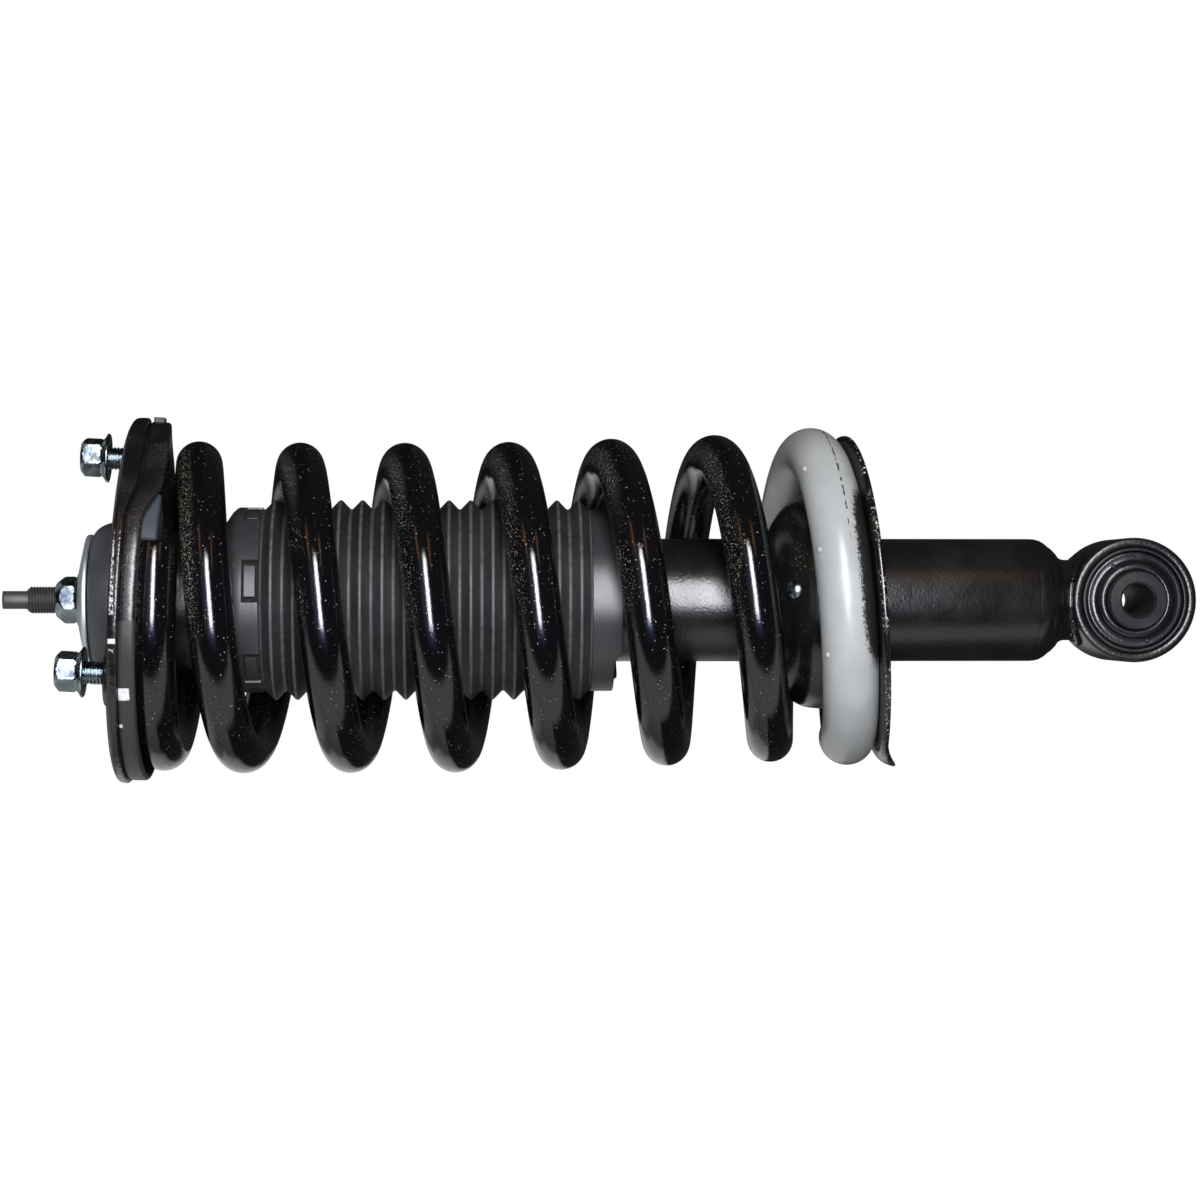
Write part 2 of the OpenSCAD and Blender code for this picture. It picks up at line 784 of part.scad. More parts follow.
module cushion_washer() {
    bevel = 0.8;
    color(zinc)
        translate([0, 0, washer_seat_z])
            rotate_extrude()
                polygon([
                    [pin_d / 2, 0], [washer_hub_r, 0], [washer_r, -washer_dish],
                    [washer_r, washer_sheet - washer_dish - bevel], [washer_r - bevel, washer_sheet - washer_dish],
                    [washer_hub_r + 0.5, washer_sheet], [pin_d / 2, washer_sheet]
                ]);
}

module rod_nut() {
    color(zinc)
        translate([0, 0, rod_nut_z])
            flange_nut(rod_nut_flats, rod_nut_flange_d, rod_nut_height, thread_d / 2);
}

module mount_plate() {
    hub_r = cushion_r + 4;
    bead_r = hub_r + 3.5;
    color(black_paint)
        in_mount()
            difference() {
                union() {
                    translate([0, 0, -plate_sheet])
                        rotate_extrude()
                            polygon([
                                [plate_hole_r, 0], [plate_r - plate_sheet, 0], [plate_r - plate_sheet, plate_sheet - plate_rim],
                                [plate_r, plate_sheet - plate_rim], [plate_r, plate_sheet - 2], [plate_r - 2, plate_sheet],
                                [bead_r + 1.5, plate_sheet], [bead_r, plate_sheet + 1.6], [hub_r, plate_sheet + 1.6],
                                [hub_r - 1.5, plate_sheet], [plate_hole_r, plate_sheet]
                            ]);
                    at_studs() {
                        translate([0, 0, -eps]) cylinder(r = pad_r, h = pad_height + eps);
                        cylinder(r1 = pad_r + 2, r2 = pad_r, h = pad_height / 2);
                    }
                }
                at_studs() translate([0, 0, -plate_sheet - 1]) cylinder(r = stud_knurl_r, h = plate_sheet + pad_height + 2);
            }
}

module mount_studs() {
    color(zinc)
        in_mount()
            at_studs() {
                translate([0, 0, -plate_sheet - stud_head]) cylinder(r = stud_head_r, h = stud_head);
                translate([0, 0, -plate_sheet]) cylinder(r = stud_knurl_r, h = plate_sheet + pad_height);
                translate([0, 0, pad_height]) cylinder(r = stud_r, h = stud_clear - 1);
                cylinder(r = stud_core_r, h = pad_height + stud_length - 1);
                translate([0, 0, pad_height + stud_length - 1])
                    cylinder(r1 = stud_core_r, r2 = stud_core_r - 1, h = 1);
            }
}

module stud_nuts() {
    color(zinc)
        in_mount()
            at_studs()
                translate([0, 0, nut_z]) flange_nut(nut_flats, nut_flange_d, nut_height, stud_core_r);
}

module spring_insulator() {
    pad_r = plate_r - plate_sheet - 0.2;
    skirt_r = plate_r - 1.5;
    skirt_inner_r = coil_r + wire_r + 0.8 + 0.6 * bow;
    wire_end = atan2(coil_point(0)[1], coil_point(0)[0]);
    inner_r = lower_cushion_r + 6;
    pad_top = -plate_sheet;
    pad_bottom = pad_top - insulator_pad;
    low = pad_bottom - insulator_skirt;
    deep = low - insulator_drop;
    drop_from = round(wire_end + 4);
    drop_angle = 60;
    steep = 16;
    gentle = 11;
    end_step = 0.6;
    stop_angle = 18;
    color(rubber_black)
        in_mount()
            difference() {
                union() {
                    ring(pad_r, inner_r, pad_bottom, pad_top);
                    ring(skirt_r, skirt_inner_r, low, -plate_rim - 0.1);
                    difference() {
                        rotate([0, 0, drop_from])
                            rotate_extrude(angle = drop_angle)
                                translate([skirt_inner_r + 0.2, deep])
                                    square([skirt_r - skirt_inner_r - 0.4, insulator_drop + 2]);
                        rotate([0, 0, drop_from])
                            translate([coil_r, 0, low - end_step])
                                rotate([-steep, 0, 0]) translate([0, -5, -20]) cube([30, 45, 20]);
                        rotate([0, 0, drop_from + drop_angle])
                            translate([coil_r, 0, low - end_step])
                                rotate([gentle, 0, 0]) translate([0, -45, -20]) cube([30, 50, 20]);
                    }
                    rotate([0, 0, drop_from - 3])
                        rotate_extrude(angle = stop_angle)
                            translate([coil_r - wire_r + 2, pad_bottom - insulator_stop])
                                square([2 * wire_r - 1.8, insulator_stop + 1]);
                    translate([skirt_r - 2, -4, low + 0.3]) cube([4, 8, 5]);
                }
                at_studs()
                    translate([0, 0, pad_top - stud_head - 0.2]) cylinder(r = stud_head_r + 0.3, h = stud_head + 1);
            }
}

// ---------------------------------------------------------------- bump stop and dust boot

module bump_stop_cup() {
    color(steel) {
        ring(cup_r, rod_r, cup_top - cup_sheet, cup_top);
        ring(cup_r, cup_r - cup_sheet, cup_bottom, cup_top - cup_sheet);
        ring(cup_lip_r, cup_r - cup_sheet, cup_bottom - cup_lip, cup_bottom);
    }
    // snap lugs that show in the collar's windows
    lug = 2.3;
    color(boot_grey)
        intersection() {
            cylinder(r = cup_lip_r - 0.2, h = cup_top);
            for (i = [0:window_count - 1])
                rotate([0, 0, window_angle + i * 360 / window_count])
                    translate([cup_lip_r - 0.2 - lug, 1 - window_w / 2, window_bottom + 0.5])
                        cube([2 * lug, window_w - 2, cup_bottom - cup_lip - window_bottom]);
        }
}

module bump_stop() {
    lobe = bump_length / 4;
    waist = 4;
    color(foam)
        rotate_extrude()
            polygon(concat(
                [[rod_r + 0.4, bump_bottom], [bump_r - 9, bump_bottom]],
                [for (i = [0:3]) each [
                    [bump_r - (i == 0 ? 6 : waist), bump_bottom + i * lobe + 1.5],
                    [bump_r - (i == 0 ? 2 : 0), bump_bottom + (i + 0.5) * lobe]
                ]],
                [[bump_r - 1, bump_top], [rod_r + 0.4, bump_top]]
            ));
}

module boot_collar() {
    inner_r = collar_r - boot_wall;
    color(boot_grey)
        difference() {
            rotate_extrude()
                polygon([
                    [inner_r, collar_bottom], [collar_r, collar_bottom], [collar_r, cup_bottom - 1.5],
                    [collar_r - 2, cup_bottom + 0.5], [cup_r + 2.2, shoulder_top], [cup_r + 0.1, shoulder_top],
                    [cup_r + 0.1, cup_bottom], [inner_r, cup_bottom]
                ]);
            for (i = [0:window_count - 1])
                rotate([0, 0, window_angle + i * 360 / window_count])
                    translate([inner_r - 2, -window_w / 2, window_bottom])
                        cube([boot_wall + 4, window_w, window_h]);
        }
}

module boot_bellows() {
    step = fold_pitch / 2;
    outline = [
        for (i = [0:bellows_folds - 1]) each [
            [valley_r, collar_bottom - i * fold_pitch],
            [bellows_r, collar_bottom - i * fold_pitch - step]
        ],
        [valley_r, bellows_bottom]
    ];
    back = [for (i = [len(outline) - 1:-1:0]) [outline[i][0] - bellows_wall, outline[i][1]]];
    color(boot_grey) rotate_extrude() polygon(concat(outline, back));
}

module boot_skirt() {
    inner_r = skirt_r - boot_wall;
    lip_r = tube_r + guide_lip_gap;
    color(boot_grey)
        difference() {
            union() {
                ring(skirt_r, inner_r, skirt_bottom, bellows_bottom);
                ring(inner_r + eps, lip_r, skirt_bottom + 4, skirt_bottom + 6.5);
            }
            rotate([0, 0, -150])
                translate([inner_r - 2, 0, skirt_bottom]) rotate([35, 0, 0]) cube([8, 16, 10], center = true);
        }
}

bush_inner_sleeve();
eye_ring();
bush_outer_sleeve();
bush_rubber();
eye_weld();
base_cap();
base_valve_body();
base_valve_discs();
reserve_tube();
pressure_tube();
rod_guide();
guide_bushing();
oil_seal();
striker_cap();
lower_spring_seat();
seat_weld();
coil_spring();
spring_sleeve();
piston_rod();
rebound_stop();
piston();
piston_band();
valve_discs();
piston_nut();
lower_washer();
cushion_spacer();
lower_cushion();
upper_cushion();
cushion_washer();
rod_nut();
bump_stop_cup();
bump_stop();
boot_collar();
boot_bellows();
boot_skirt();
mount_plate();
mount_studs();
stud_nuts();
spring_insulator();
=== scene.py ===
"""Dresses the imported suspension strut: wound spring, turned and pressed pieces, fasteners and finishes."""

import math

import bpy
import numpy as np
from mathutils import Matrix


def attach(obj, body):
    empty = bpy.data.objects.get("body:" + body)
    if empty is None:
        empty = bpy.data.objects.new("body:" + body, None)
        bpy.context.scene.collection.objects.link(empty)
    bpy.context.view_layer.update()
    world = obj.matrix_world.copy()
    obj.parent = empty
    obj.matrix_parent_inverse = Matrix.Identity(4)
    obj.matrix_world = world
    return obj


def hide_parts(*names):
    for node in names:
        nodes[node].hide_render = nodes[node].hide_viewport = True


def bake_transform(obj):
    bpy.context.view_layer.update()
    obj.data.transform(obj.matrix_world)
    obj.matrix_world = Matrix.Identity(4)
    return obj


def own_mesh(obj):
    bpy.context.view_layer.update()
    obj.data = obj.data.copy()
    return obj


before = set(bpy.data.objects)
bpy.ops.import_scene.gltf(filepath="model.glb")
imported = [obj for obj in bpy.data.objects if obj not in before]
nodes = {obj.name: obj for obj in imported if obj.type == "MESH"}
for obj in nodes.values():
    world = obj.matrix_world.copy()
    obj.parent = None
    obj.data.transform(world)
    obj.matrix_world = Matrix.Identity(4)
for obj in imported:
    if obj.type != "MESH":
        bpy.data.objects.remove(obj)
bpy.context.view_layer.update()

MM = 0.001
TURN = 2 * math.pi

# ------------------------------------------------------------------ sizes, in millimetres

EYE_R = 27.2
EYE_WALL = 4.3
EYE_WIDTH = 46
SHELL_WALL = 1.6
CORE_R = 13
CORE_LENGTH = 60
BORE_R = 7.1
TUBE_R = 27
TUBE_WALL = 2
TUBE_BOTTOM = 35
TUBE_TOP = 262
NECK_R = 17.8
COIL_R = 62.3
COIL_TURNS = 7.5
COIL_START = -67.7
SPRING_START = 422.6
SPRING_END = 120
TOP_PITCH = 8.5
END_PITCH = 26
WIRE_R = 10
BOW = 3.4
FOOT_SHIFT = 1.6
FOOT_LEAN = 1.2
SLEEVE_R = 12
SLEEVE_FROM = 6.5
SLEEVE_TO = 7.32
SEAT_TOP = 158
SEAT_OVERHANG = 10.3
SEAT_INSET = 14.3
SEAT_R = COIL_R + SEAT_OVERHANG
SEAT_WALL_R = COIL_R - SEAT_INSET
SEAT_LIP = 3.6
SEAT_SHEET = 3
TAB_DROP = 5.5
TAB_FLARE = 1.4
MOVING_GAP = 0.3
MOUNT_Z = 439.2
MOUNT_TILT = 2.6
PLATE_R = 79.8
PLATE_SHEET = 3.2
PLATE_RIM = 5.7
PLATE_HOLE_R = 16
HUB_R = 38
PAD_HEIGHT = 1.5
INSULATOR_PAD = 3.3
INSULATOR_SKIRT = 7
INSULATOR_DROP = 6.5
PAD_BOTTOM = -PLATE_SHEET - INSULATOR_PAD
STUD_RING_R = 61.5
STUD_ANGLES = (0, 120, 240)
STUD_R = 5
STUD_PITCH = 1.5
STUD_TOP = 21.5
NUT_Z = 10.3
NUT_FLATS = 15
NUT_FLANGE_R = 10.75
NUT_HEIGHT = 12.2
CUSHION_R = 34
CUSHION_TOP_R = 26
SPACER_R = 9.8
UNDER_BOTTOM = 424.1
WASHER_Z = 456.6
WASHER_R = 28.6
WASHER_HUB_R = 14
WASHER_SHEET = 2.6
WASHER_DISH = 3
ROD_NUT_Z = 459.2
ROD_NUT_HEIGHT = 10.5
ROD_NUT_FLATS = 18
ROD_NUT_FLANGE_R = 11.7
ROD_TIP = 492.8
TIP_START = 481.5
THREAD_R = 5.9
THREAD_PITCH = 1.25
TIP_FLAT = 3.9
ROD_R = 10
ROD_FOOT = 192.7
ROD_SHOULDER = 220.7
TAIL_R = 6
PIN_R = 7
SEAL_BOTTOM = 253.1
SEAL_TOP = 259.9
CUP_TOP = 421.4
CUP_BOTTOM = 392
BUMP_TOP = 418.9
BUMP_LENGTH = 66
COLLAR_R = 40.5
COLLAR_BOTTOM = 379
COLLAR_LIP_R = 39.6
COLLAR_INNER_R = 38.1
CUP_HOLE_R = 30.2
SLOT_R = 38.4
LUG_R = 40
BELLOWS_R = 43.8
BELLOWS_FOLD = 4
FOLDS = 15
FOLD_PITCH = 9.45
SKIRT_R = 40
SKIRT_BOTTOM = 222.95
SKIRT_TOP = COLLAR_BOTTOM - FOLDS * FOLD_PITCH


# ------------------------------------------------------------------ mesh making

def smooth(u):
    """Smooth step: 3u^2 - 2u^3 with u held between 0 and 1."""
    v = np.clip(u, 0, 1)
    return v * v * (3 - 2 * v)


def grid_faces(rows, columns, wrap_rows):
    """Quad corners of a grid as two index arrays: wrapped for the points, unwrapped for the UV map."""
    i, j = np.meshgrid(np.arange(rows if wrap_rows else rows - 1), np.arange(columns), indexing="ij")
    corners = np.stack([np.stack([i, j], -1), np.stack([i + 1, j], -1),
                        np.stack([i + 1, j + 1], -1), np.stack([i, j + 1], -1)], -2).reshape(-1, 4, 2)
    return (corners[..., 0] % rows) * columns + corners[..., 1] % columns, corners


def shell(points, wrap_rows):
    """Vertices in metres, faces and UV corners of a grid of points in millimetres. Open rows are capped, and
    faces are turned round where the signed volume, the sum of a . (b x c) over triangles, is negative."""
    rows, columns = points.shape[:2]
    quads, corners = grid_faces(rows, columns, wrap_rows)
    vertices = points.reshape(-1, 3) * MM
    fan = vertices[quads]
    volume = np.einsum("ij,ij->i", fan[:, 0], np.cross(fan[:, 1], fan[:, 2])).sum()
    volume += np.einsum("ij,ij->i", fan[:, 0], np.cross(fan[:, 2], fan[:, 3])).sum()
    faces = quads.tolist()
    if not wrap_rows:
        faces.append(list(range(columns - 1, -1, -1)))
        faces.append([(rows - 1) * columns + k for k in range(columns)])
    uv = corners / np.array([max(rows - 1, 1), columns])
    if volume < 0:
        faces = [f[::-1] for f in faces]
        uv = uv[:, ::-1]
    return vertices.tolist(), faces, uv


def make(name, body, points, look, replaces=(), wrap_rows=False, uv_size=(1.0, 1.0), sharp=35):
    """A closed mesh over a grid of points in millimetres, with a UV map, that rides on a body."""
    vertices, faces, uv = shell(points, wrap_rows)
    mesh = bpy.data.meshes.new(name)
    mesh.from_pydata(vertices, [], faces)
    loops = np.zeros((len(mesh.loops), 2))
    loops[: uv.shape[0] * 4] = (uv * np.array(uv_size)).reshape(-1, 2)
    mesh.uv_layers.new(name="UVMap").data.foreach_set("uv", loops.ravel())
    return place(name, body, mesh, look, replaces, sharp)


def join(name, body, grids, look, replaces=(), wrap_rows=False, sharp=35):
    """Several point grids as one piece: each is closed by itself."""
    vertices, faces = [], []
    for points in grids:
        own_vertices, own_faces, _ = shell(points, wrap_rows)
        faces += [[v + len(vertices) for v in f] for f in own_faces]
        vertices += own_vertices
    mesh = bpy.data.meshes.new(name)
    mesh.from_pydata(vertices, [], faces)
    return place(name, body, mesh, look, replaces, sharp)


def place(name, body, mesh, look, replaces, sharp):
    """Shades a mesh smooth up to an angle, gives it its look and ties it to its body. A piece whose body is
    None is left untied."""
    mesh.validate()
    mesh.shade_smooth()
    mesh.set_sharp_from_angle(angle=math.radians(sharp))
    mesh.materials.append(look)
    piece = bpy.data.objects.new(name, mesh)
    bpy.context.scene.collection.objects.link(piece)
    if body:
        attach(piece, body)
    if replaces:
        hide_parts(*replaces)
    return piece


def filleted(profile, radius=0.6, steps=3):
    """A closed outline with each corner cut back by the radius and rounded by a quadratic curve."""
    corner = np.array(profile, float)
    before = np.roll(corner, 1, 0) - corner
    after = np.roll(corner, -1, 0) - corner
    before_length = np.linalg.norm(before, axis=1)[:, None]
    after_length = np.linalg.norm(after, axis=1)[:, None]
    reach = np.minimum(radius, 0.45 * np.minimum(before_length, after_length))
    start = (corner + before / before_length * reach)[:, None]
    stop = (corner + after / after_length * reach)[:, None]
    s = np.linspace(0, 1, steps)[None, :, None]
    return ((1 - s) ** 2 * start + 2 * s * (1 - s) * corner[:, None] + s ** 2 * stop).reshape(-1, 2)


def spun(profile, count=160, axis="Z"):
    """A closed outline of (radius, height) points carried round an axis."""
    angle = np.arange(count) / count * TURN
    r, h = np.asarray(profile).T
    x = np.cos(angle)[:, None] * r
    y = np.sin(angle)[:, None] * r
    z = np.broadcast_to(h, x.shape)
    return np.stack([x, z, -y] if axis == "Y" else [x, y, z], -1)


def tube_wall(inner, outer, low, high):
    """The outline of a plain tube's wall."""
    return [(inner, low), (outer, low), (outer, high), (inner, high)]


def revolved(outline, angle):
    """Rings round Z from an outline of (radius, height) pairs, each a number or one value per angle."""
    one = np.ones_like(angle)
    radius = np.stack([one * p[0] for p in outline], 1)
    height = np.stack([one * p[1] for p in outline], 1)
    return np.stack([radius * np.cos(angle)[:, None], radius * np.sin(angle)[:, None], height], -1)


def stacked(radius, angle, height):
    """Level rings round Z: radius over height and angle, with one height for each ring."""
    level = np.broadcast_to(np.asarray(height)[:, None], radius.shape)
    return np.stack([radius * np.cos(angle), radius * np.sin(angle), level], -1)


def softened(rings, rounds=2):
    """Corner cutting on every ring's outline: each side keeps the part between its quarter points."""
    for _ in range(rounds):
        after = np.roll(rings, -1, 1)
        cut = np.stack([rings * 0.75 + after * 0.25, rings * 0.25 + after * 0.75], 2)
        rings = cut.reshape(len(rings), -1, 3)
    return rings


def apart(a, b):
    """Degrees between two directions: |(a - b + 180) mod 360 - 180|."""
    return np.abs((a - b + 180) % 360 - 180)


def in_mount(points):
    """Turns points from the mount's own frame, level at the plate's top face, into its lean on the strut."""
    a = math.radians(MOUNT_TILT)
    x, y, z = np.moveaxis(np.asarray(points, float), -1, 0)
    return np.stack([x * math.cos(a) + z * math.sin(a), y, MOUNT_Z - x * math.sin(a) + z * math.cos(a)], -1)


# ------------------------------------------------------------------ shader making

class Value:
    """A shader socket that takes part in arithmetic; each operator adds one Math node."""

    def __init__(self, shade, socket):
        self.shade = shade
        self.socket = socket

    def maths(self, operation, *terms):
        return self.shade.node("Math", {"operation": operation}, dict(enumerate(terms)))

    def __add__(self, other):
        return self.maths("ADD", self, other)

    def __sub__(self, other):
        return self.maths("SUBTRACT", self, other)

    def __rsub__(self, other):
        return self.maths("SUBTRACT", other, self)

    def __mul__(self, other):
        return self.maths("MULTIPLY", self, other)

    __radd__ = __add__
    __rmul__ = __mul__

    def over(self, low, high):
        """0 below low, 1 above high, smooth between."""
        return self.shade.node("MapRange", {"interpolation_type": "SMOOTHSTEP"},
                               {"Value": self, "From Min": low, "From Max": high})

    def between(self, rise, fall):
        """1 between two soft edges, each a pair of bounds, and 0 outside them."""
        return self.over(*rise) * (1 - self.over(*fall))


class Shade:
    """A material or world under construction: node() adds any node, surface() ends it."""

    def __init__(self, owner):
        self.owner = owner
        owner.use_nodes = True
        self.tree = owner.node_tree
        self.tree.nodes.clear()

    def node(self, kind, settings=None, sockets=None, out=0):
        made = self.tree.nodes.new("ShaderNode" + kind)
        for key, value in (settings or {}).items():
            setattr(made, key, value)
        for key, value in (sockets or {}).items():
            if isinstance(value, Value):
                self.tree.links.new(value.socket, made.inputs[key])
            else:
                made.inputs[key].default_value = value
        return Value(self, made.outputs[out])

    def point(self):
        return self.node("TexCoord", out="Object")

    def axis(self, name):
        """One of the point's coordinates on the strut, in metres."""
        return self.node("SeparateXYZ", {}, {"Vector": self.point()}, out=name)

    def uv(self, name):
        return self.node("SeparateXYZ", {}, {"Vector": self.node("UVMap")}, out=name)

    def reach(self, kept=(1, 1, 0)):
        """Distance in metres from the strut's axis, or with (1, 0, 1) kept from the bolt's axis."""
        flat = self.node("VectorMath", {"operation": "MULTIPLY"}, {0: self.point(), 1: kept})
        return self.node("VectorMath", {"operation": "LENGTH"}, {0: flat}, out="Value")

    def noise(self, scale, detail=3.0, roughness=0.55):
        return self.node("TexNoise", {}, {"Vector": self.point(), "Scale": scale, "Detail": detail,
                                          "Roughness": roughness})

    def drift(self, scale):
        """0 to 1 in broad soft patches."""
        return self.noise(scale, 4).over(0.35, 0.7)

    def dust(self, scale, specks, crowds):
        """Fine specks that gather in crowds: each pair says where its noise starts and fully counts."""
        return self.noise(scale, 2, 0.7).over(*specks) * self.noise(60, 3).over(*crowds)

    def patch(self, side, up, beyond, soft=0.0003):
        """1 on the near half, out past a radius, where X and Z lie between bounds in millimetres."""
        mask = 1 - self.axis("Y").over(-0.001, 0)
        mask = mask * self.reach().over(beyond * MM - soft, beyond * MM + soft)
        for name, (low, high) in (("X", side), ("Z", up)):
            rise = (low * MM - soft, low * MM + soft)
            fall = (high * MM - soft, high * MM + soft)
            mask = mask * self.axis(name).between(rise, fall)
        return mask

    def mix(self, factor, a, b):
        return self.node("Mix", {"data_type": "RGBA"}, {0: factor, 6: a, 7: b}, out=2)

    def bump(self, height, distance, under=None):
        sockets = {"Height": height, "Distance": distance * MM}
        if under:
            sockets["Normal"] = under
        return self.node("Bump", {}, sockets)

    def surface(self, **sockets):
        shader = self.node("BsdfPrincipled", {}, {k.replace("_", " "): v for k, v in sockets.items()})
        self.tree.links.new(shader.socket, self.node_output())
        return self.owner

    def node_output(self):
        return self.tree.nodes.new("ShaderNodeOutputMaterial").inputs["Surface"]


def rgba(red, green, blue):
    return (red, green, blue, 1)


def finish(name, base, tint, rough, rough_spread=0.1, patch=40, grain=900, grain_depth=0.05, lumps=0,
           lump_depth=0.0, specks=0.0, metallic=0.0):
    """A surface whose colour drifts from base to tint in patches, with fine grain, lumps and dust specks."""
    shade = Shade(bpy.data.materials.new(name))
    drift = shade.drift(patch)
    colour = shade.mix(drift, rgba(*base), rgba(*tint))
    roughness = drift * rough_spread + (rough - rough_spread / 2)
    relief = shade.bump(shade.noise(grain, 2), grain_depth)
    if lumps:
        relief = shade.bump(shade.noise(lumps, 2), lump_depth, relief)
    if specks:
        dust = shade.dust(1600, (0.62, 0.72), (0.5, 0.68)) * specks
        colour = shade.mix(dust, colour, rgba(0.35, 0.3, 0.22))
        roughness = roughness + dust * 0.3
    return shade.surface(Base_Color=colour, Roughness=roughness, Normal=relief, Metallic=metallic)


boot_plastic = finish("boot_plastic", (0.018, 0.018, 0.0195), (0.024, 0.024, 0.0255), 0.38, 0.06,
                      grain=1500, grain_depth=0.03)
cushion_rubber = finish("cushion_rubber", (0.036, 0.038, 0.044), (0.044, 0.046, 0.052), 0.46, 0.08,
                        grain_depth=0.02)
bush_rubber = finish("bush_rubber", (0.005, 0.005, 0.006), (0.010, 0.010, 0.011), 0.26,
                     lumps=200, lump_depth=0.1, specks=0.15)
stop_rubber = finish("stop_rubber", (0.026, 0.031, 0.038), (0.034, 0.040, 0.047), 0.55,
                     lumps=200, lump_depth=0.1)
zinc = finish("zinc", (0.22, 0.27, 0.29), (0.36, 0.41, 0.43), 0.26, 0.16, patch=160, grain=600,
              grain_depth=0.06, metallic=1.0)
washer_zinc = finish("washer_zinc", (0.5, 0.56, 0.56), (0.62, 0.67, 0.67), 0.5, 0.14,
                     grain_depth=0.02, metallic=1.0)
dark_thread = finish("dark_thread", (0.018, 0.017, 0.017), (0.03, 0.029, 0.028), 0.45, 0.12)
bare_steel = finish("bare_steel", (0.42, 0.42, 0.43), (0.5, 0.5, 0.5), 0.3, metallic=1.0)
chrome = finish("chrome", (0.62, 0.63, 0.65), (0.66, 0.67, 0.68), 0.1, 0.04, grain_depth=0.005,
                metallic=1.0)
bronze = finish("bronze", (0.5, 0.34, 0.15), (0.58, 0.42, 0.22), 0.4, metallic=1.0)
foam = finish("foam", (0.55, 0.46, 0.26), (0.66, 0.57, 0.36), 0.75, grain=600, grain_depth=0.2)


def make_tube_paint():
    """Black paint: even on the upper tube, lumpy and faintly dusty below the spring seat."""
    shade = Shade(bpy.data.materials.new("tube_paint"))
    below = 1 - shade.axis("Z").over(0.15, 0.165)
    drift = shade.drift(40)
    dust = shade.dust(1500, (0.7, 0.76), (0.5, 0.66)) * below * 0.5
    colour = shade.mix(drift, rgba(0.004, 0.004, 0.0045), rgba(0.009, 0.008, 0.0075))
    colour = shade.mix(dust, colour, rgba(0.3, 0.27, 0.22))
    relief = shade.bump(shade.noise(900, 2), 0.1)
    relief = shade.bump(shade.noise(220, 2) * (below * 0.9 + 0.06), 0.1, relief)
    return shade.surface(Base_Color=colour, Roughness=drift * 0.06 + 0.25, Normal=relief)


def make_seat_paint():
    """Glossy black paint, dusty on the bell, with painted highlights: bright glints along the flange's rim.
    """
    shade = Shade(bpy.data.materials.new("seat_paint"))
    drift = shade.drift(60)
    rim = shade.reach().over((SEAT_R - 0.9) * MM, (SEAT_R - 0.5) * MM)
    dust = shade.dust(1600, (0.68, 0.74), (0.45, 0.62)) * (1 - rim)
    # painted highlights: bright glints along the flange's rim
    glints = shade.noise(700, 4, 0.8).over(0.56, 0.62) * shade.noise(120, 2).over(0.4, 0.55) * rim
    colour = shade.mix(drift, rgba(0.003, 0.003, 0.003), rgba(0.007, 0.007, 0.006))
    colour = shade.mix(dust + glints, colour, rgba(0.5, 0.46, 0.38))
    relief = shade.bump(shade.noise(900, 2), 0.06)
    relief = shade.bump(shade.noise(150, 2), 0.1, relief)
    return shade.surface(Base_Color=colour, Roughness=drift * 0.06 + dust * 0.3 + 0.18, Normal=relief)


def make_fold_plastic():
    """Boot plastic with pale lines along the crests and the valleys of its folds: partly wear, partly painted
    highlight.
    """
    shade = Shade(bpy.data.materials.new("fold_plastic"))
    reach = shade.reach()
    wear_and_sheen = shade.noise(300, 3).over(0.3, 0.6)
    valley_r = BELLOWS_R - BELLOWS_FOLD
    crest = reach.over((BELLOWS_R - 0.4) * MM, (BELLOWS_R - 0.05) * MM)
    valley = 1 - reach.over((valley_r + 0.1) * MM, (valley_r + 0.5) * MM)
    # partly wear, partly painted highlight: pale lines where the crests and valleys catch the light
    wear_and_highlight_lines = (crest + valley * 0.7) * (wear_and_sheen * 0.6 + 0.4)
    drift = shade.drift(40)
    colour = shade.mix(drift, rgba(0.008, 0.008, 0.0085), rgba(0.013, 0.013, 0.0135))
    colour = shade.mix(wear_and_highlight_lines, colour, rgba(0.065, 0.065, 0.065))
    relief = shade.bump(shade.noise(1500, 2), 0.05)
    return shade.surface(Base_Color=colour, Roughness=drift * 0.08 + 0.5, Normal=relief)


def make_plate_paint():
    """Black paint, dusty, with painted highlights: broken pale glints along the rim of the near side."""
    shade = Shade(bpy.data.materials.new("plate_paint"))
    drift = shade.drift(60)
    dust = shade.dust(1400, (0.62, 0.7), (0.5, 0.65)) * 0.4
    colour = shade.mix(drift, rgba(0.005, 0.005, 0.005), rgba(0.012, 0.0105, 0.009))
    colour = shade.mix(dust, colour, rgba(0.3, 0.25, 0.18))
    broken = shade.noise(900, 4, 0.8)
    edge = PLATE_R - 0.7
    # painted highlights: broken pale glints along the near side's rim stand in for light caught by the edge
    painted_glints = shade.patch((-6, 29), (436, 438.2), edge) * broken.over(0.46, 0.54) * 0.8
    painted_glints = painted_glints + shade.patch((-18, -16), (435.5, 440), edge)
    painted_glints = painted_glints + shade.patch((-22, -20), (436, 439), edge) * broken.over(0.55, 0.6)
    colour = shade.mix(painted_glints.over(0, 1), colour, rgba(0.62, 0.58, 0.55))
    relief = shade.bump(shade.noise(800, 2), 0.08)
    relief = shade.bump(shade.noise(320, 2), 0.3, relief)
    return shade.surface(Base_Color=colour, Roughness=drift * 0.14 + 0.16 + painted_glints * 0.2, Normal=relief)


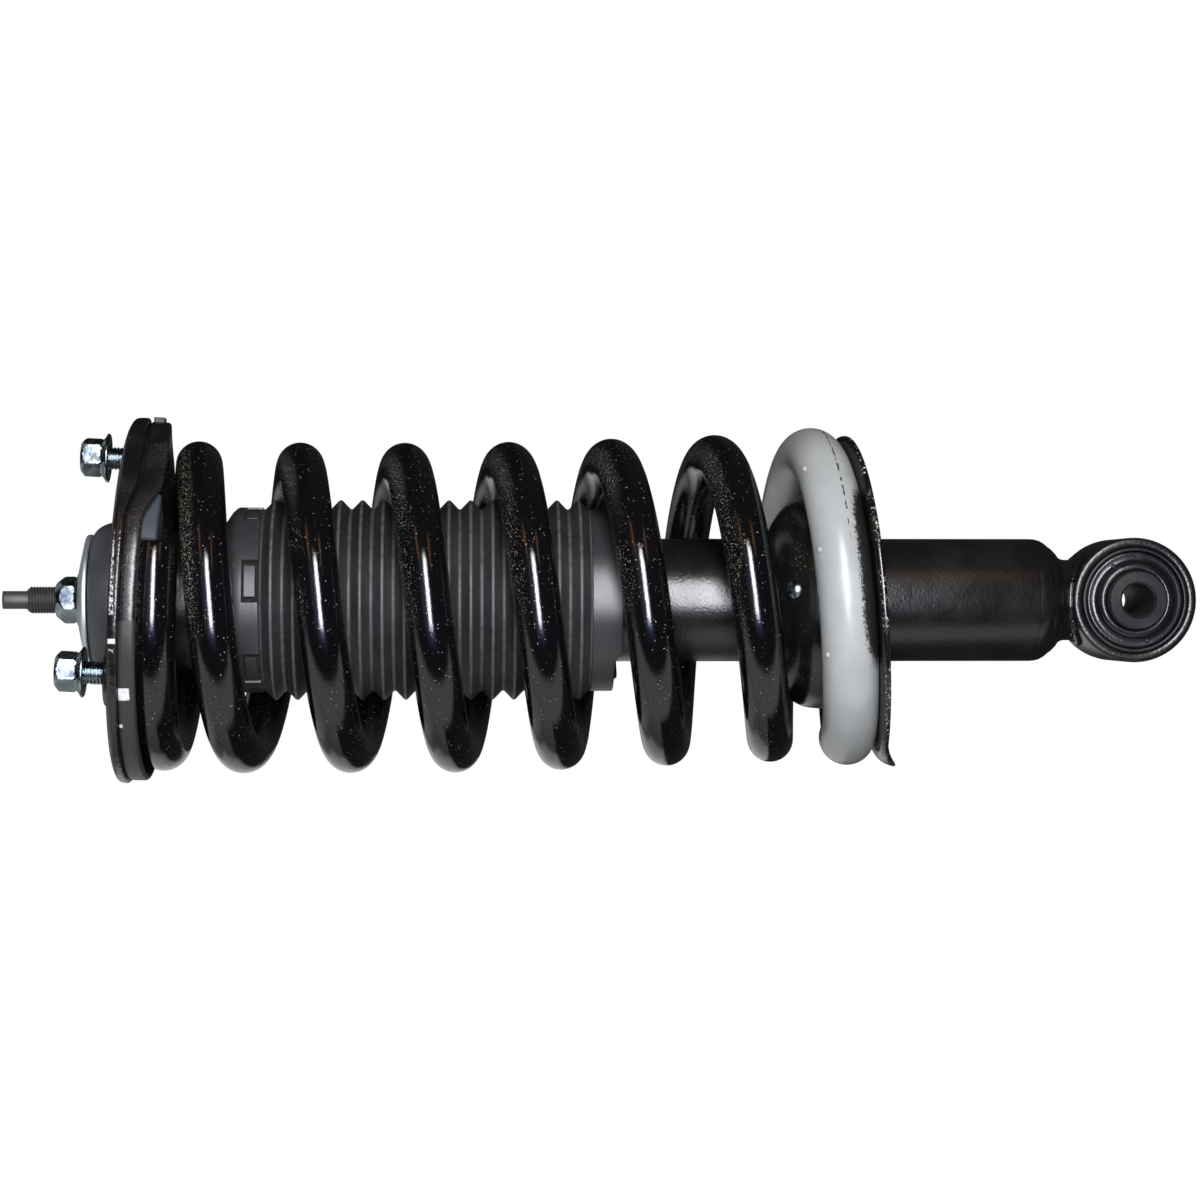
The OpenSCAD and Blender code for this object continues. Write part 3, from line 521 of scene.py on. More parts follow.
def make_insulator_rubber():
    """Dusty black rubber: wet-looking and streaked above the level of the axis, dull and brown below it."""
    shade = Shade(bpy.data.materials.new("insulator_rubber"))
    side = shade.axis("X") + shade.noise(500, 2) * 0.001
    dull = 1 - side.over(-0.0088, -0.0076)
    drift = shade.drift(90)
    dust = shade.dust(1500, (0.6, 0.7), (0.45, 0.65)) * 0.4
    colour = shade.mix(drift, rgba(0.005, 0.005, 0.006), rgba(0.014, 0.0125, 0.011))
    colour = shade.mix(dull * 0.7, colour, rgba(0.03, 0.027, 0.024))
    colour = shade.mix(dust, colour, rgba(0.28, 0.24, 0.18))
    # painted highlights: small near-white glints on the near side of the rubber's outer edge
    edge = PLATE_R - 2.3
    glint_breakup = shade.noise(260, 2).over(0.3, 0.5) * 0.5 + 0.5
    marks = shade.patch((-41.7, -36.6), (430.8, 435.6), edge) * glint_breakup
    marks = marks + shade.patch((-53.4, -52), (434.6, 437), edge)
    colour = shade.mix(marks.over(0, 1), colour, rgba(0.62, 0.61, 0.6))
    relief = shade.bump(shade.noise(900, 2), 0.05)
    relief = shade.bump(shade.noise(160, 2), 0.15, relief)
    return shade.surface(Base_Color=colour, Roughness=dull * 0.2 + dust * 0.2 + 0.26, Normal=relief)


def make_collar_plastic():
    """Boot plastic with painted shade: the deep slots round the snap lugs are coloured nearly black."""
    shade = Shade(bpy.data.materials.new("collar_plastic"))
    drift = shade.drift(40)
    deep = 1 - shade.reach().over((COLLAR_LIP_R - 0.1) * MM, (COLLAR_LIP_R + 0.2) * MM)
    painted_dark_slots = deep * (1 - shade.axis("Z").over((COLLAR_BOTTOM + 8) * MM, (COLLAR_BOTTOM + 8.4) * MM))
    dusty = shade.noise(1400, 2).over(0.62, 0.72) * 0.25
    colour = shade.mix(drift, rgba(0.021, 0.021, 0.023), rgba(0.028, 0.028, 0.030))
    # painted shade: the deep slots are coloured nearly black
    colour = shade.mix(painted_dark_slots * 0.9, colour, rgba(0.002, 0.002, 0.002))
    colour = shade.mix(dusty, colour, rgba(0.2, 0.18, 0.15))
    relief = shade.bump(shade.noise(1500, 2), 0.04)
    return shade.surface(Base_Color=colour, Roughness=drift * 0.1 + painted_dark_slots * 0.6 + 0.36, Normal=relief)


def make_bush_steel():
    """Dark bush steel with an unlit bore."""
    shade = Shade(bpy.data.materials.new("core_steel"))
    bore = 1 - shade.reach((1, 0, 1)).over(BORE_R * MM, (BORE_R + 0.5) * MM)
    drift = shade.drift(40)
    colour = shade.mix(drift, rgba(0.007, 0.007, 0.008), rgba(0.014, 0.0135, 0.0125))
    colour = shade.mix(bore, colour, rgba(0.02, 0.019, 0.018))
    relief = shade.bump(shade.noise(600, 2), 0.04)
    return shade.surface(Base_Color=colour, Roughness=bore * 0.3 + drift * 0.1 + 0.3, Metallic=0.2,
                         Specular_IOR_Level=0.3, Normal=relief)


def make_spring_enamel():
    """Glossy black enamel: UV y goes round the wire, so that dust lies on its upper flank."""
    shade = Shade(bpy.data.materials.new("spring_enamel"))
    crowd = shade.axis("Z").over(0.38, 0.4)
    upper = shade.uv("Y").between((0.04, 0.14), (0.23, 0.3)) * shade.axis("X").over(-0.03, 0.02)
    fine = shade.noise(2000, 2, 0.7)
    sparkle = (fine + crowd * 0.04).over(0.65, 0.69) * (shade.noise(45, 3) + crowd * 0.1).over(0.35, 0.5)
    stray = shade.noise(1500, 1).over(0.75, 0.78) * 0.9
    dust = sparkle * upper + stray * (1 - upper)
    colour = shade.mix(dust, rgba(0.0025, 0.0025, 0.003), rgba(0.8, 0.72, 0.55))
    relief = shade.bump(shade.noise(260, 2), 0.05)
    relief = shade.bump(fine, 0.03, relief)
    relief = shade.bump(fine * upper, 0.2, relief)
    return shade.surface(Base_Color=colour, Roughness=dust * 0.4 + 0.065, Normal=relief, IOR=1.52)


def make_sleeve_grey():
    """Pale grey tube: UV x counts turns from the sleeve's upper end and UV y goes round it."""
    shade = Shade(bpy.data.materials.new("sleeve_plastic"))
    along = shade.uv("X")
    around = shade.uv("Y")
    patches = shade.noise(35, 4).over(0.3, 0.75)
    colour = shade.mix(patches, rgba(0.275, 0.285, 0.275), rgba(0.335, 0.345, 0.33))
    rub = along.between((0.4, 0.49), (0.57, 0.68)) * around.between((0.7, 0.74), (0.8, 1.04))
    smudge = (shade.noise(900, 4, 0.85) * 0.8 + rub * 0.75).over(0.72, 0.8)
    line = around.between((0.955, 0.958), (0.964, 0.967)) * along.between((0.28, 0.34), (0.48, 0.52))
    line = line * shade.noise(420, 2).over(0.48, 0.54)
    scuffs = shade.noise(700, 3).over(0.68, 0.74) * shade.noise(60, 2).over(0.5, 0.6) * 0.6
    marks = scuffs + smudge + line * 0.9
    colour = shade.mix(marks.over(0, 1), colour, rgba(0.012, 0.012, 0.012))
    relief = shade.bump(shade.noise(120, 2), 0.08)
    relief = shade.bump(1 - line, 0.2, relief)
    return shade.surface(Base_Color=colour, Roughness=patches * 0.08 + 0.3, Normal=relief, IOR=1.48)


tube_paint = make_tube_paint()
seat_paint = make_seat_paint()
fold_plastic = make_fold_plastic()
plate_paint = make_plate_paint()
insulator_rubber = make_insulator_rubber()
collar_plastic = make_collar_plastic()
bush_steel = make_bush_steel()
spring_enamel = make_spring_enamel()
sleeve_grey = make_sleeve_grey()

# ------------------------------------------------------------------ spring and sleeve

TOP_RUN = 0.5
TOP_RAMP_END = 0.8
END_RAMP_START = COIL_TURNS - 1.2
END_RAMP_END = COIL_TURNS - 0.4
TOP_SHARE = TOP_RUN + (TOP_RAMP_END - TOP_RUN) / 2
END_SHARE = (END_RAMP_END - END_RAMP_START) / 2 + COIL_TURNS - END_RAMP_END
STEADY_DROP = SPRING_START - SPRING_END - TOP_PITCH * TOP_SHARE - END_PITCH * END_SHARE
MAIN_PITCH = STEADY_DROP / (COIL_TURNS - TOP_SHARE - END_SHARE)


def coil_pitch(t):
    """Fall per turn: slow at the closed top, steady in the middle, slower again at the foot."""
    rise = np.clip((t - TOP_RUN) / (TOP_RAMP_END - TOP_RUN), 0, 1)
    ease = np.clip((t - END_RAMP_START) / (END_RAMP_END - END_RAMP_START), 0, 1)
    return TOP_PITCH + (MAIN_PITCH - TOP_PITCH) * rise - (MAIN_PITCH - END_PITCH) * ease


FINE_T = np.linspace(0, COIL_TURNS, 6001)
FINE_DROP = np.concatenate([[0], np.cumsum(coil_pitch((FINE_T[1:] + FINE_T[:-1]) / 2) * np.diff(FINE_T))])


def coil_angle(t):
    return np.radians(COIL_START - 360 * t)


def coil_path(t):
    """Centre line of the wire at turn t, counted down from its upper end: a helix that leans with the mount
    at its top and the other way at its foot, and bows to the side between them."""
    angle = coil_angle(t)
    top_lean = math.tan(math.radians(MOUNT_TILT)) * (1 - smooth(t / 2))
    foot_lean = math.tan(math.radians(FOOT_LEAN)) * smooth((t - 3) / 2.5)
    shift = (BOW + FOOT_SHIFT) * smooth((t - 3) / 4.2) - BOW * (0.6 + 0.4 * smooth(t / 1.3))
    return np.stack([COIL_R * np.cos(angle) + shift, COIL_R * np.sin(angle),
                     SPRING_START - np.interp(t, FINE_T, FINE_DROP)
                     - COIL_R * np.cos(angle) * (top_lean - foot_lean)], -1)


def wire_rings(t, radius, sides):
    """Circles square to the wire: radius times (cos k on the outward ray + sin k on the upward normal)."""
    angle = coil_angle(t)
    radial = np.stack([np.cos(angle), np.sin(angle), np.zeros_like(angle)], -1)
    slope = coil_pitch(t) / TURN
    upward = np.stack([np.sin(angle) * slope, -np.cos(angle) * slope, np.full_like(angle, COIL_R)], -1)
    upward /= np.linalg.norm(upward, axis=1)[:, None]
    k = np.arange(sides) / sides * TURN
    size = np.broadcast_to(radius, t.shape)[:, None, None]
    return coil_path(t)[:, None] + size * (np.cos(k)[None, :, None] * radial[:, None]
                                           + np.sin(k)[None, :, None] * upward[:, None])


def wire_ends(t, radius, edge=1.2):
    """Turn values and radii with the two end edges rounded over."""
    step = edge / (COIL_R * TURN)
    bend = np.linspace(0, 1, 5)
    start = t[0] + step * bend
    stop = t[-1] - step * bend[::-1]
    shrink = radius - edge + edge * np.sqrt(1 - (1 - bend) ** 2)
    return (np.concatenate([start, t[1:-1], stop]),
            np.concatenate([shrink, np.full(len(t) - 2, radius), shrink[::-1]]))


wire_t, wire_r = wire_ends(np.linspace(0, COIL_TURNS, 961), WIRE_R)
spring = make("wound_spring", "damper", wire_rings(wire_t, wire_r, 40), spring_enamel,
              replaces=("coil_spring",), uv_size=(COIL_TURNS, 1), sharp=50)

cover_t, cover_r = wire_ends(np.linspace(SLEEVE_FROM, SLEEVE_TO, 241), SLEEVE_R, 0.8)
outer = wire_rings(cover_t, cover_r, 48)
inner = wire_rings(cover_t[::-1], WIRE_R + 0.05, 48)
sleeve = make("spring_cover", "damper", np.concatenate([outer, inner]), sleeve_grey,
              replaces=("spring_sleeve",), wrap_rows=True, uv_size=(2 * (SLEEVE_TO - SLEEVE_FROM), 1),
              sharp=50)


def pips(name, body, spots, radius, look):
    """Small half-sunk balls at the given points."""
    lat = np.linspace(-math.pi / 2 + 0.05, math.pi / 2 - 0.05, 9)[:, None]
    lon = (np.arange(16) / 16 * TURN)[None]
    ball = np.stack([np.cos(lat) * np.cos(lon), np.cos(lat) * np.sin(lon), np.sin(lat) + 0 * lon], -1)
    return join(name, body, [ball * radius + np.array(s) for s in spots], look, sharp=60)


COVER_PIP_TURNS = (6.914, 7.014, 7.119)
COVER_PIP_DEGREES = 58


def on_cover(t):
    """The point on the sleeve's skin at turn t where a moulding pip stands."""
    return wire_rings(np.array([t]), SLEEVE_R - 0.5, 360)[0, COVER_PIP_DEGREES]


cover_pips = pips("cover_pips", "damper", [on_cover(t) for t in COVER_PIP_TURNS], 1.5, sleeve_grey)

# ------------------------------------------------------------------ lower spring seat

RAMP_SPAN = 250


def seat_height(angle):
    """Height of the flange: under the sleeve for most of a turn, then smoothly back up to where it began."""
    turned = (np.degrees(angle) - (COIL_START - 360 * COIL_TURNS)) % 360
    low = coil_path(COIL_TURNS - np.minimum(turned, RAMP_SPAN) / 360)[:, 2]
    start = coil_path(np.array([COIL_TURNS]))[0, 2]
    back = smooth((turned - RAMP_SPAN) / (360 - RAMP_SPAN))
    return low + (start - low) * back - SLEEVE_R - MOVING_GAP


def seat_points(count=420):
    """The seat's sheet: a rounded outline whose flange rises and falls with the angle, with one bent tab."""
    angle = np.arange(count) / count * TURN
    z = seat_height(angle)
    tab = smooth(1 - np.abs(np.degrees(angle) - 180) / 30)
    lip_r = SEAT_R + TAB_FLARE * tab
    lip = SEAT_LIP + TAB_DROP * tab
    r = SEAT_WALL_R
    s = SEAT_SHEET
    top = SEAT_TOP
    return softened(revolved([
        (TUBE_R + 0.3, top), (TUBE_R + 2.5, top), (TUBE_R + 6.5, top - 1.3), (r - 7.8, top - 5.6),
        (r - 2.6, top - 11.4), (r, top - 18), (r, z + 5), (r + 0.6, z + 1.6), (r + 3.4, z), (r + 8, z),
        (SEAT_R - 4.5 * tab - 2.5, z), (SEAT_R - 0.6 - tab, z - 0.9 - tab), (lip_r, z - lip),
        (lip_r - s + 0.9, z - lip - 0.5), (SEAT_R - s - 1.4 - 2 * tab, z - s - 0.3),
        (SEAT_R - s - 4 - 2 * tab, z - s), (r + 3, z - s), (r - s + 1, z - s + 1.5), (r - s, z + 3.5),
        (r - s, top - 17.5), (r - s - 2, top - 13.5), (r - 9.3, top - 8.6), (TUBE_R + 5.2, top - s - 1.6),
        (TUBE_R + 0.3, top - s)], angle))


make("pressed_seat", "damper", seat_points(), seat_paint, replaces=("lower_spring_seat",),
     wrap_rows=True, sharp=50)


def bead(angle_count, radius, height, size, seed, ripple=0.12):
    """A weld bead round the tube: a lumpy ring whose section swells with overlapping waves."""
    rng = np.random.default_rng(seed)
    angle = np.arange(angle_count) / angle_count * TURN
    wave = np.zeros_like(angle)
    for n in (3, 7, 16, 41):
        wave += np.sin(n * angle + rng.uniform(0, TURN)) * ripple / math.sqrt(n / 3)
    k = np.arange(12) / 12 * TURN
    size = size * (1 + wave)[:, None]
    r = radius + size * np.cos(k)
    z = height + size * np.sin(k) * 0.8
    return np.stack([r * np.cos(angle)[:, None], r * np.sin(angle)[:, None], z], -1)


make("seat_bead", "damper", bead(240, TUBE_R + 0.3, SEAT_TOP + 0.4, 1.9, 3), seat_paint,
     replaces=("seat_weld",), wrap_rows=True)

SEAT_PLUG = (4.4, -39.2, 149.6)
pips("seat_plug", "damper", [SEAT_PLUG], 4.6, zinc)

# ------------------------------------------------------------------ tube and lower eye

CAP_SEAM = 42

NECK_TOP = TUBE_BOTTOM - 5.5

make("outer_tube", "damper",
     spun(filleted(tube_wall(TUBE_R - TUBE_WALL, TUBE_R, CAP_SEAM, TUBE_TOP), 0.5), 200),
     tube_paint, replaces=("reserve_tube",), wrap_rows=True)


def cap_points(count=200):
    """The cap's outline from the tube round to the neck, whose foot follows the eye: z = sqrt(R^2 - x^2)."""
    angle = np.arange(count) / count * TURN
    foot = np.sqrt(EYE_R ** 2 - (NECK_R * np.cos(angle)) ** 2)
    outline = [(TUBE_R - 5, CAP_SEAM), (TUBE_R - 0.05, CAP_SEAM), (TUBE_R - 0.15, 40.4), (TUBE_R - 0.7, 38.4),
               (TUBE_R - 1.7, 36.6), (TUBE_R - 2.8, 35.3), (TUBE_R - 3.3, 35), (TUBE_R - 3.4, 34.5),
               (TUBE_R - 4.3, 33.3), (TUBE_R - 6, 31.6), (TUBE_R - 7.8, NECK_TOP + 0.9),
               (NECK_R + 0.5, np.maximum(NECK_TOP - 0.4, foot + 1.2)),
               (NECK_R, np.maximum(NECK_TOP - 2.2, foot + 0.6)), (NECK_R, foot + 0.2),
               (NECK_R - 3, foot + 0.3)]
    return revolved(outline, angle)


make("pressed_cap", "damper", cap_points(), tube_paint, replaces=("base_cap",), wrap_rows=True,
     sharp=40)


def saddle_bead(count=260, size=1.9, seed=5):
    """The eye's weld: a lumpy tube along the line where the neck meets the eye."""
    rng = np.random.default_rng(seed)
    angle = np.arange(count) / count * TURN
    wave = sum(np.sin(n * angle + rng.uniform(0, TURN)) / math.sqrt(n) for n in (5, 9, 17, 33)) * 0.14
    x = (NECK_R + 0.5) * np.cos(angle)
    spine = np.stack([x, (NECK_R + 0.5) * np.sin(angle), np.sqrt((EYE_R + 0.3) ** 2 - x ** 2)], -1)
    radial = np.stack([np.cos(angle), np.sin(angle), 0 * angle], -1)
    k = np.arange(12) / 12 * TURN
    ring = np.cos(k)[None, :, None] * radial[:, None] + np.sin(k)[None, :, None] * np.array([0, 0, 1.0])
    return spine[:, None] + ring * (size * (1 + wave))[:, None, None]


make("eye_bead", "damper", saddle_bead(), tube_paint, replaces=("eye_weld",), wrap_rows=True)

HALF = EYE_WIDTH / 2
SHELL_R = EYE_R - EYE_WALL
SHELL_HALF = HALF + 0.6
RUBBER_HALF = HALF - 1.6
RUBBER_R = SHELL_R - SHELL_WALL
SLEEVE_HALF = CORE_LENGTH / 2
RUBBER_PIPS = [(14.6, -23.2, 9.5), (-17.6, -23.2, -5.2)]
SPATTER = [(9.2, -19.2, 26.5), (-9.3, -19.2, 26.5), (-15, -17, 26.8), (3, -21.5, 24.5)]

make("rolled_eye", "damper", spun(filleted(tube_wall(SHELL_R, EYE_R, -HALF, HALF), 1.8, 5), 200, "Y"),
     tube_paint, replaces=("eye_ring",), wrap_rows=True, sharp=60)
make("bush_shell", "damper",
     spun(filleted(tube_wall(RUBBER_R, SHELL_R, -SHELL_HALF, SHELL_HALF), 0.5), 200, "Y"),
     bush_steel, replaces=("bush_outer_sleeve",), wrap_rows=True, sharp=60)


def bush_outline():
    """The rubber's face from its sleeve to its shell, with a swelling and a groove, and the same mirrored."""
    face = [(CORE_R + 0.1, 4.5), (CORE_R + 1.6, 4.8), (CORE_R + 3.2, 4), (CORE_R + 4.2, 1.6),
            (CORE_R + 5.6, 1.2), (RUBBER_R - 0.6, 1.4), (RUBBER_R, 0)]
    return [(r, RUBBER_HALF + h) for r, h in face] + [(r, -RUBBER_HALF - h) for r, h in face[::-1]]


def bolt_sleeve_outline():
    """The sleeve's wall, bevelled at both ends of the bore and of the outside."""
    end = [(BORE_R, 0.9), (BORE_R + 0.9, 0), (CORE_R - 0.8, 0), (CORE_R, 0.8)]
    return [(r, -SLEEVE_HALF + h) for r, h in end] + [(r, SLEEVE_HALF - h) for r, h in end[::-1]]


bush = make("bush_ring", None, spun(filleted(bush_outline(), 1.2, 4), 160, "Y"), bush_rubber,
            replaces=("bush_rubber",), wrap_rows=True, sharp=60)
pips("rubber_pips", "damper", RUBBER_PIPS, 1.1, bush_rubber)
pips("weld_spatter", "damper", SPATTER, 1, tube_paint)
make("bolt_sleeve", "lower_bush_sleeve", spun(bolt_sleeve_outline(), 120, "Y"), bush_steel,
     replaces=("bush_inner_sleeve",), wrap_rows=True, sharp=30)

# ------------------------------------------------------------------ dust boot

CREST = [(0, 0.0), (0.06, 0.03), (0.42, 0.93), (0.5, 1.0), (0.58, 0.93), (0.94, 0.03)]


def bellows_outline():
    """Sharp folds with small rounded crests and valleys: each fold repeats one short outline."""
    outside = []
    for i in range(FOLDS):
        for along, out in CREST:
            outside.append((BELLOWS_R - BELLOWS_FOLD * (1 - out), COLLAR_BOTTOM - (i + along) * FOLD_PITCH))
    outside.append((BELLOWS_R - BELLOWS_FOLD, COLLAR_BOTTOM - FOLDS * FOLD_PITCH))
    return outside + [(r - 1.2, z) for r, z in outside[::-1]]


bellows = make("boot_folds", "rod", spun(bellows_outline(), 160), fold_plastic,
               replaces=("boot_bellows",), wrap_rows=True, sharp=70)


def steps(edges, soft):
    """Values for a grid that follow each edge closely: one just before and one just after it."""
    return np.array(sorted(v for e in edges for v in (e - soft, e + soft)))


WINDOWS = 6
WINDOW_CENTRE = -78.2
WINDOW_ARC = 26
LUG_ARC = 20


def collar_points():
    """Outer radius over angle and height: a band with open-ended windows and a lug plate in each."""
    centres = WINDOW_CENTRE + np.arange(WINDOWS) * 360 / WINDOWS
    edges = [c + side * arc / 2 for c in centres for arc in (WINDOW_ARC, LUG_ARC) for side in (-1, 1)]
    even = np.arange(-180, 180, 2.5)
    fine = steps(edges, 0.35)
    even = even[apart(even[:, None], fine).min(1) > 0.5]
    angle = np.sort(np.concatenate([even, (fine + 180) % 360 - 180]))
    off = apart(angle[:, None], centres).min(1)
    window = (off < WINDOW_ARC / 2).astype(float)
    lug = (off < LUG_ARC / 2).astype(float)
    low = COLLAR_BOTTOM
    r = COLLAR_R
    lip = COLLAR_LIP_R
    slot = SLOT_R
    # height, then the radius in the band, in a window's slot and on a lug
    cut = [(low, lip, lip, lip), (low + 0.5, lip, lip, lip), (low + 0.8, r - 0.1, slot, slot),
           (low + 1.1, r, slot, slot), (low + 1.8, r, slot, slot), (low + 2.1, r, slot, LUG_R),
           (low + 6.6, r, slot, LUG_R), (low + 6.9, r, slot, slot), (low + 7.5, r, slot, slot)]
    # height and radius where nothing is cut: up the shoulder, then back down the inside
    plain = [(low + 7.8, r), (low + 10.7, r), (low + 11.7, r - 0.4), (CUP_BOTTOM + 0.5, 38.5),
             (CUP_BOTTOM + 4.6, 32.6), (CUP_BOTTOM + 5, 32), (CUP_BOTTOM + 5, CUP_HOLE_R),
             (CUP_BOTTOM, CUP_HOLE_R), (CUP_BOTTOM - 0.5, COLLAR_INNER_R), (low, COLLAR_INNER_R)]
    rows = np.array(cut + [(z, radius, radius, radius) for z, radius in plain])
    height, band, slot_r, lug_r = rows.T
    opened = slot_r * (1 - lug)[:, None] + lug_r * lug[:, None]
    radius = band * (1 - window)[:, None] + opened * window[:, None]
    return revolved(list(zip(radius.T, height)), np.radians(angle))


make("snap_collar", "rod", collar_points(), collar_plastic, replaces=("boot_collar",),
     wrap_rows=True, sharp=25)


def skirt_points(count=240):
    """A plain band whose lower edge is cut back over part of the circle."""
    angle = np.arange(count) / count * TURN - math.pi
    deg = np.degrees(angle)
    cut = 3.2 * smooth((-126 - deg) / 6) + 3.2 * smooth((deg - 150) / 6)
    low = SKIRT_BOTTOM + 1.1 + cut
    inner = SKIRT_R - 2.4
    return revolved([(inner, low), (SKIRT_R - 0.4, low), (SKIRT_R, low + 0.4), (SKIRT_R, SKIRT_TOP - 0.4),
                     (SKIRT_R - 0.4, SKIRT_TOP), (inner, SKIRT_TOP), (inner, SKIRT_BOTTOM + 7.5),
                     (TUBE_R + 0.6, SKIRT_BOTTOM + 6.5), (TUBE_R + 0.6, SKIRT_BOTTOM + 5),
                     (inner, SKIRT_BOTTOM + 5)], angle)


make("boot_band", "boot_end", skirt_points(), boot_plastic, replaces=("boot_skirt",),
     wrap_rows=True, sharp=40)

# ------------------------------------------------------------------ rod, nuts and studs


def threaded(bottom, top, outer_r, depth, pitch, tip):
    """A screw thread over angle and height: the radius is a ridge wave of height / pitch - angle, held below
    a bevel at the top."""
    angle = np.arange(72) / 72 * TURN
    rings_per_ridge = 12
    z = np.linspace(bottom, top, int((top - bottom) / pitch * rings_per_ridge) + 1)
    phase = (z[:, None] / pitch - angle[None] / TURN) % 1
    ridge = np.clip(1.25 - np.abs(phase - 0.5) * 2.5, 0, 1)
    radius = outer_r - depth + depth * ridge
    bevel = outer_r - tip + (top - z)[:, None]
    return stacked(np.minimum(radius, np.maximum(bevel, outer_r - tip)), angle, z)


def hex_nut(flats, flange_r, height, bore_r, turned, edge=1.1, rise=3.4, crown=2.3, crown_in=1.4):
    """A flanged nut: at each height the radius is the smaller of the hexagon and a cone, or the flange."""
    count = 240
    angle = np.arange(count) / count * TURN
    sector = (angle - math.radians(turned) + math.pi / 6) % (math.pi / 3) - math.pi / 6
    hexagon = flats / 2 / np.cos(sector)
    corner = flats / 2 / math.cos(math.pi / 6)
    brim = flange_r - 0.15
    waist = flats / 2 - 0.2
    levels = [(0, flange_r - 0.5), (0.25, flange_r - 0.1), (edge * 0.6, flange_r), (edge, brim)]
    under = len(levels)
    for s in np.linspace(0, 1, 6)[1:]:
        levels.append((edge + (rise - edge) * s, brim - (brim - waist) * s ** 0.8))
    rings = [np.full(count, r) for _, r in levels]
    for i in range(under, len(levels)):
        rings[i] = np.maximum(rings[i], np.minimum(hexagon, corner - 0.5))
    heights = [z for z, _ in levels]
    for z in np.concatenate([[rise + 0.4], np.linspace(height - crown - 1.2, height - 0.5, 12)]):
        cone = corner + 0.25 - np.maximum(0, z - (height - crown)) * (corner - flats / 2 + crown_in) / crown
        rings.append(np.minimum(hexagon, cone))
        heights.append(z)
    top_r = rings[-1].min() - 0.7
    rings += [np.full(count, r) for r in (top_r, bore_r + 0.8, bore_r, bore_r)]
    heights += [height, height, height - 0.8, 0]
    return stacked(np.stack(rings), angle, heights)


def stud_spots():
    angle = np.radians(STUD_ANGLES)
    return np.stack([STUD_RING_R * np.cos(angle), STUD_RING_R * np.sin(angle), 0 * angle], -1)


NUT_DEGREES = (100, 22, 98)
ROD_NUT_DEGREES = 97
NUT_BASE = np.array([0, 0, NUT_Z])
ROD_NUT_BASE = np.array([0, 0, ROD_NUT_Z])

studs = [in_mount(threaded(-PLATE_SHEET, STUD_TOP, STUD_R - 0.05, 0.62, STUD_PITCH, 1.2) + spot)
         for spot in stud_spots()]
join("threaded_studs", "top_mount", studs, zinc, ("mount_studs",), sharp=50)
nuts = [in_mount(hex_nut(NUT_FLATS, NUT_FLANGE_R, NUT_HEIGHT, STUD_R + 0.02, turned) + spot + NUT_BASE)
        for spot, turned in zip(stud_spots(), NUT_DEGREES)]
join("flanged_nuts", "top_mount", nuts, zinc, ("stud_nuts",), wrap_rows=True, sharp=28)
rod_nut = hex_nut(ROD_NUT_FLATS, ROD_NUT_FLANGE_R, ROD_NUT_HEIGHT, THREAD_R, ROD_NUT_DEGREES, edge=0.9,
                  rise=2.2, crown=4.2, crown_in=2.0)
join("centre_nut", "rod", [rod_nut + ROD_NUT_BASE], zinc, ("rod_nut",), wrap_rows=True, sharp=28)


def washer_outline():
    """The dished washer: flat round the rod, then falling away to its rim."""
    top = WASHER_Z + WASHER_SHEET
    return [(PIN_R, WASHER_Z), (WASHER_HUB_R, WASHER_Z), (WASHER_R, WASHER_Z - WASHER_DISH),
            (WASHER_R, top - WASHER_DISH - 0.3), (WASHER_HUB_R + 0.5, top), (PIN_R, top)]


make("dished_washer", "rod", spun(filleted(washer_outline(), 0.8, 4), 160), washer_zinc,
     replaces=("cushion_washer",), wrap_rows=True, sharp=50)


def flatted_tip():
    """The rod's tip: a short round neck, then a shank cut back to two flats with a bevelled end."""
    angle = np.arange(96) / 96 * TURN
    flat = TIP_FLAT / np.maximum(np.abs(np.cos(angle)), 1e-6)
    heights = [TIP_START - 0.5, TIP_START + 0.4, TIP_START + 0.8, ROD_TIP - 0.9, ROD_TIP - 0.3, ROD_TIP]
    neck = [np.full(96, 4.9)] * 2
    shank = [np.minimum(limit, flat) for limit in (5.1, 5.1, 4.6, 4.2)]
    return stacked(np.stack(neck + shank), angle, heights)


def plain_rod():
    """The rod below its thread: piston tail, ground shaft with bevelled shoulders, and the pin."""
    outline = [(TAIL_R - 0.6, ROD_FOOT), (TAIL_R, ROD_FOOT + 0.6), (TAIL_R, ROD_SHOULDER),
               (ROD_R - 0.8, ROD_SHOULDER), (ROD_R, ROD_SHOULDER + 0.8), (ROD_R, CUP_TOP - 0.8),
               (ROD_R - 0.8, CUP_TOP), (PIN_R, CUP_TOP), (PIN_R, ROD_NUT_Z - 1.4),
               (PIN_R - 0.4, ROD_NUT_Z - 1)]
    angle = np.arange(120) / 120 * TURN
    return np.swapaxes(revolved(outline, angle), 0, 1)


make("ground_rod", "rod", plain_rod(), chrome, replaces=("piston_rod",), sharp=40)
rod_thread = threaded(ROD_NUT_Z - 0.8, TIP_START, THREAD_R, 0.55, THREAD_PITCH, 0.8)
join("rod_thread", "rod", [rod_thread, flatted_tip()], dark_thread, sharp=35)

# ------------------------------------------------------------------ top mount

def dome_outline():
    """The upper cushion: a quarter ellipse from its foot on the plate up to the washer."""
    foot = 3.5
    rise = WASHER_Z - MOUNT_Z - WASHER_DISH - foot
    dome = [(CUSHION_TOP_R + (CUSHION_R - CUSHION_TOP_R) * math.cos(a), MOUNT_Z + foot + rise * math.sin(a))
            for a in np.linspace(0, math.pi / 2, 12)]
    return [(SPACER_R, MOUNT_Z + 1.8), (CUSHION_R - 1, MOUNT_Z + 1.8)] + dome + [
        (WASHER_HUB_R, WASHER_Z - 0.1), (SPACER_R, WASHER_Z - 0.1)]


def under_outline():
    """The lower cushion: swollen round its middle, between its washer and the plate."""
    top = MOUNT_Z - PLATE_SHEET - 1.7
    return [(SPACER_R, UNDER_BOTTOM), (29, UNDER_BOTTOM), (31, UNDER_BOTTOM + 2.9),
            (32.3, UNDER_BOTTOM + 6.9), (31, top), (SPACER_R, top)]


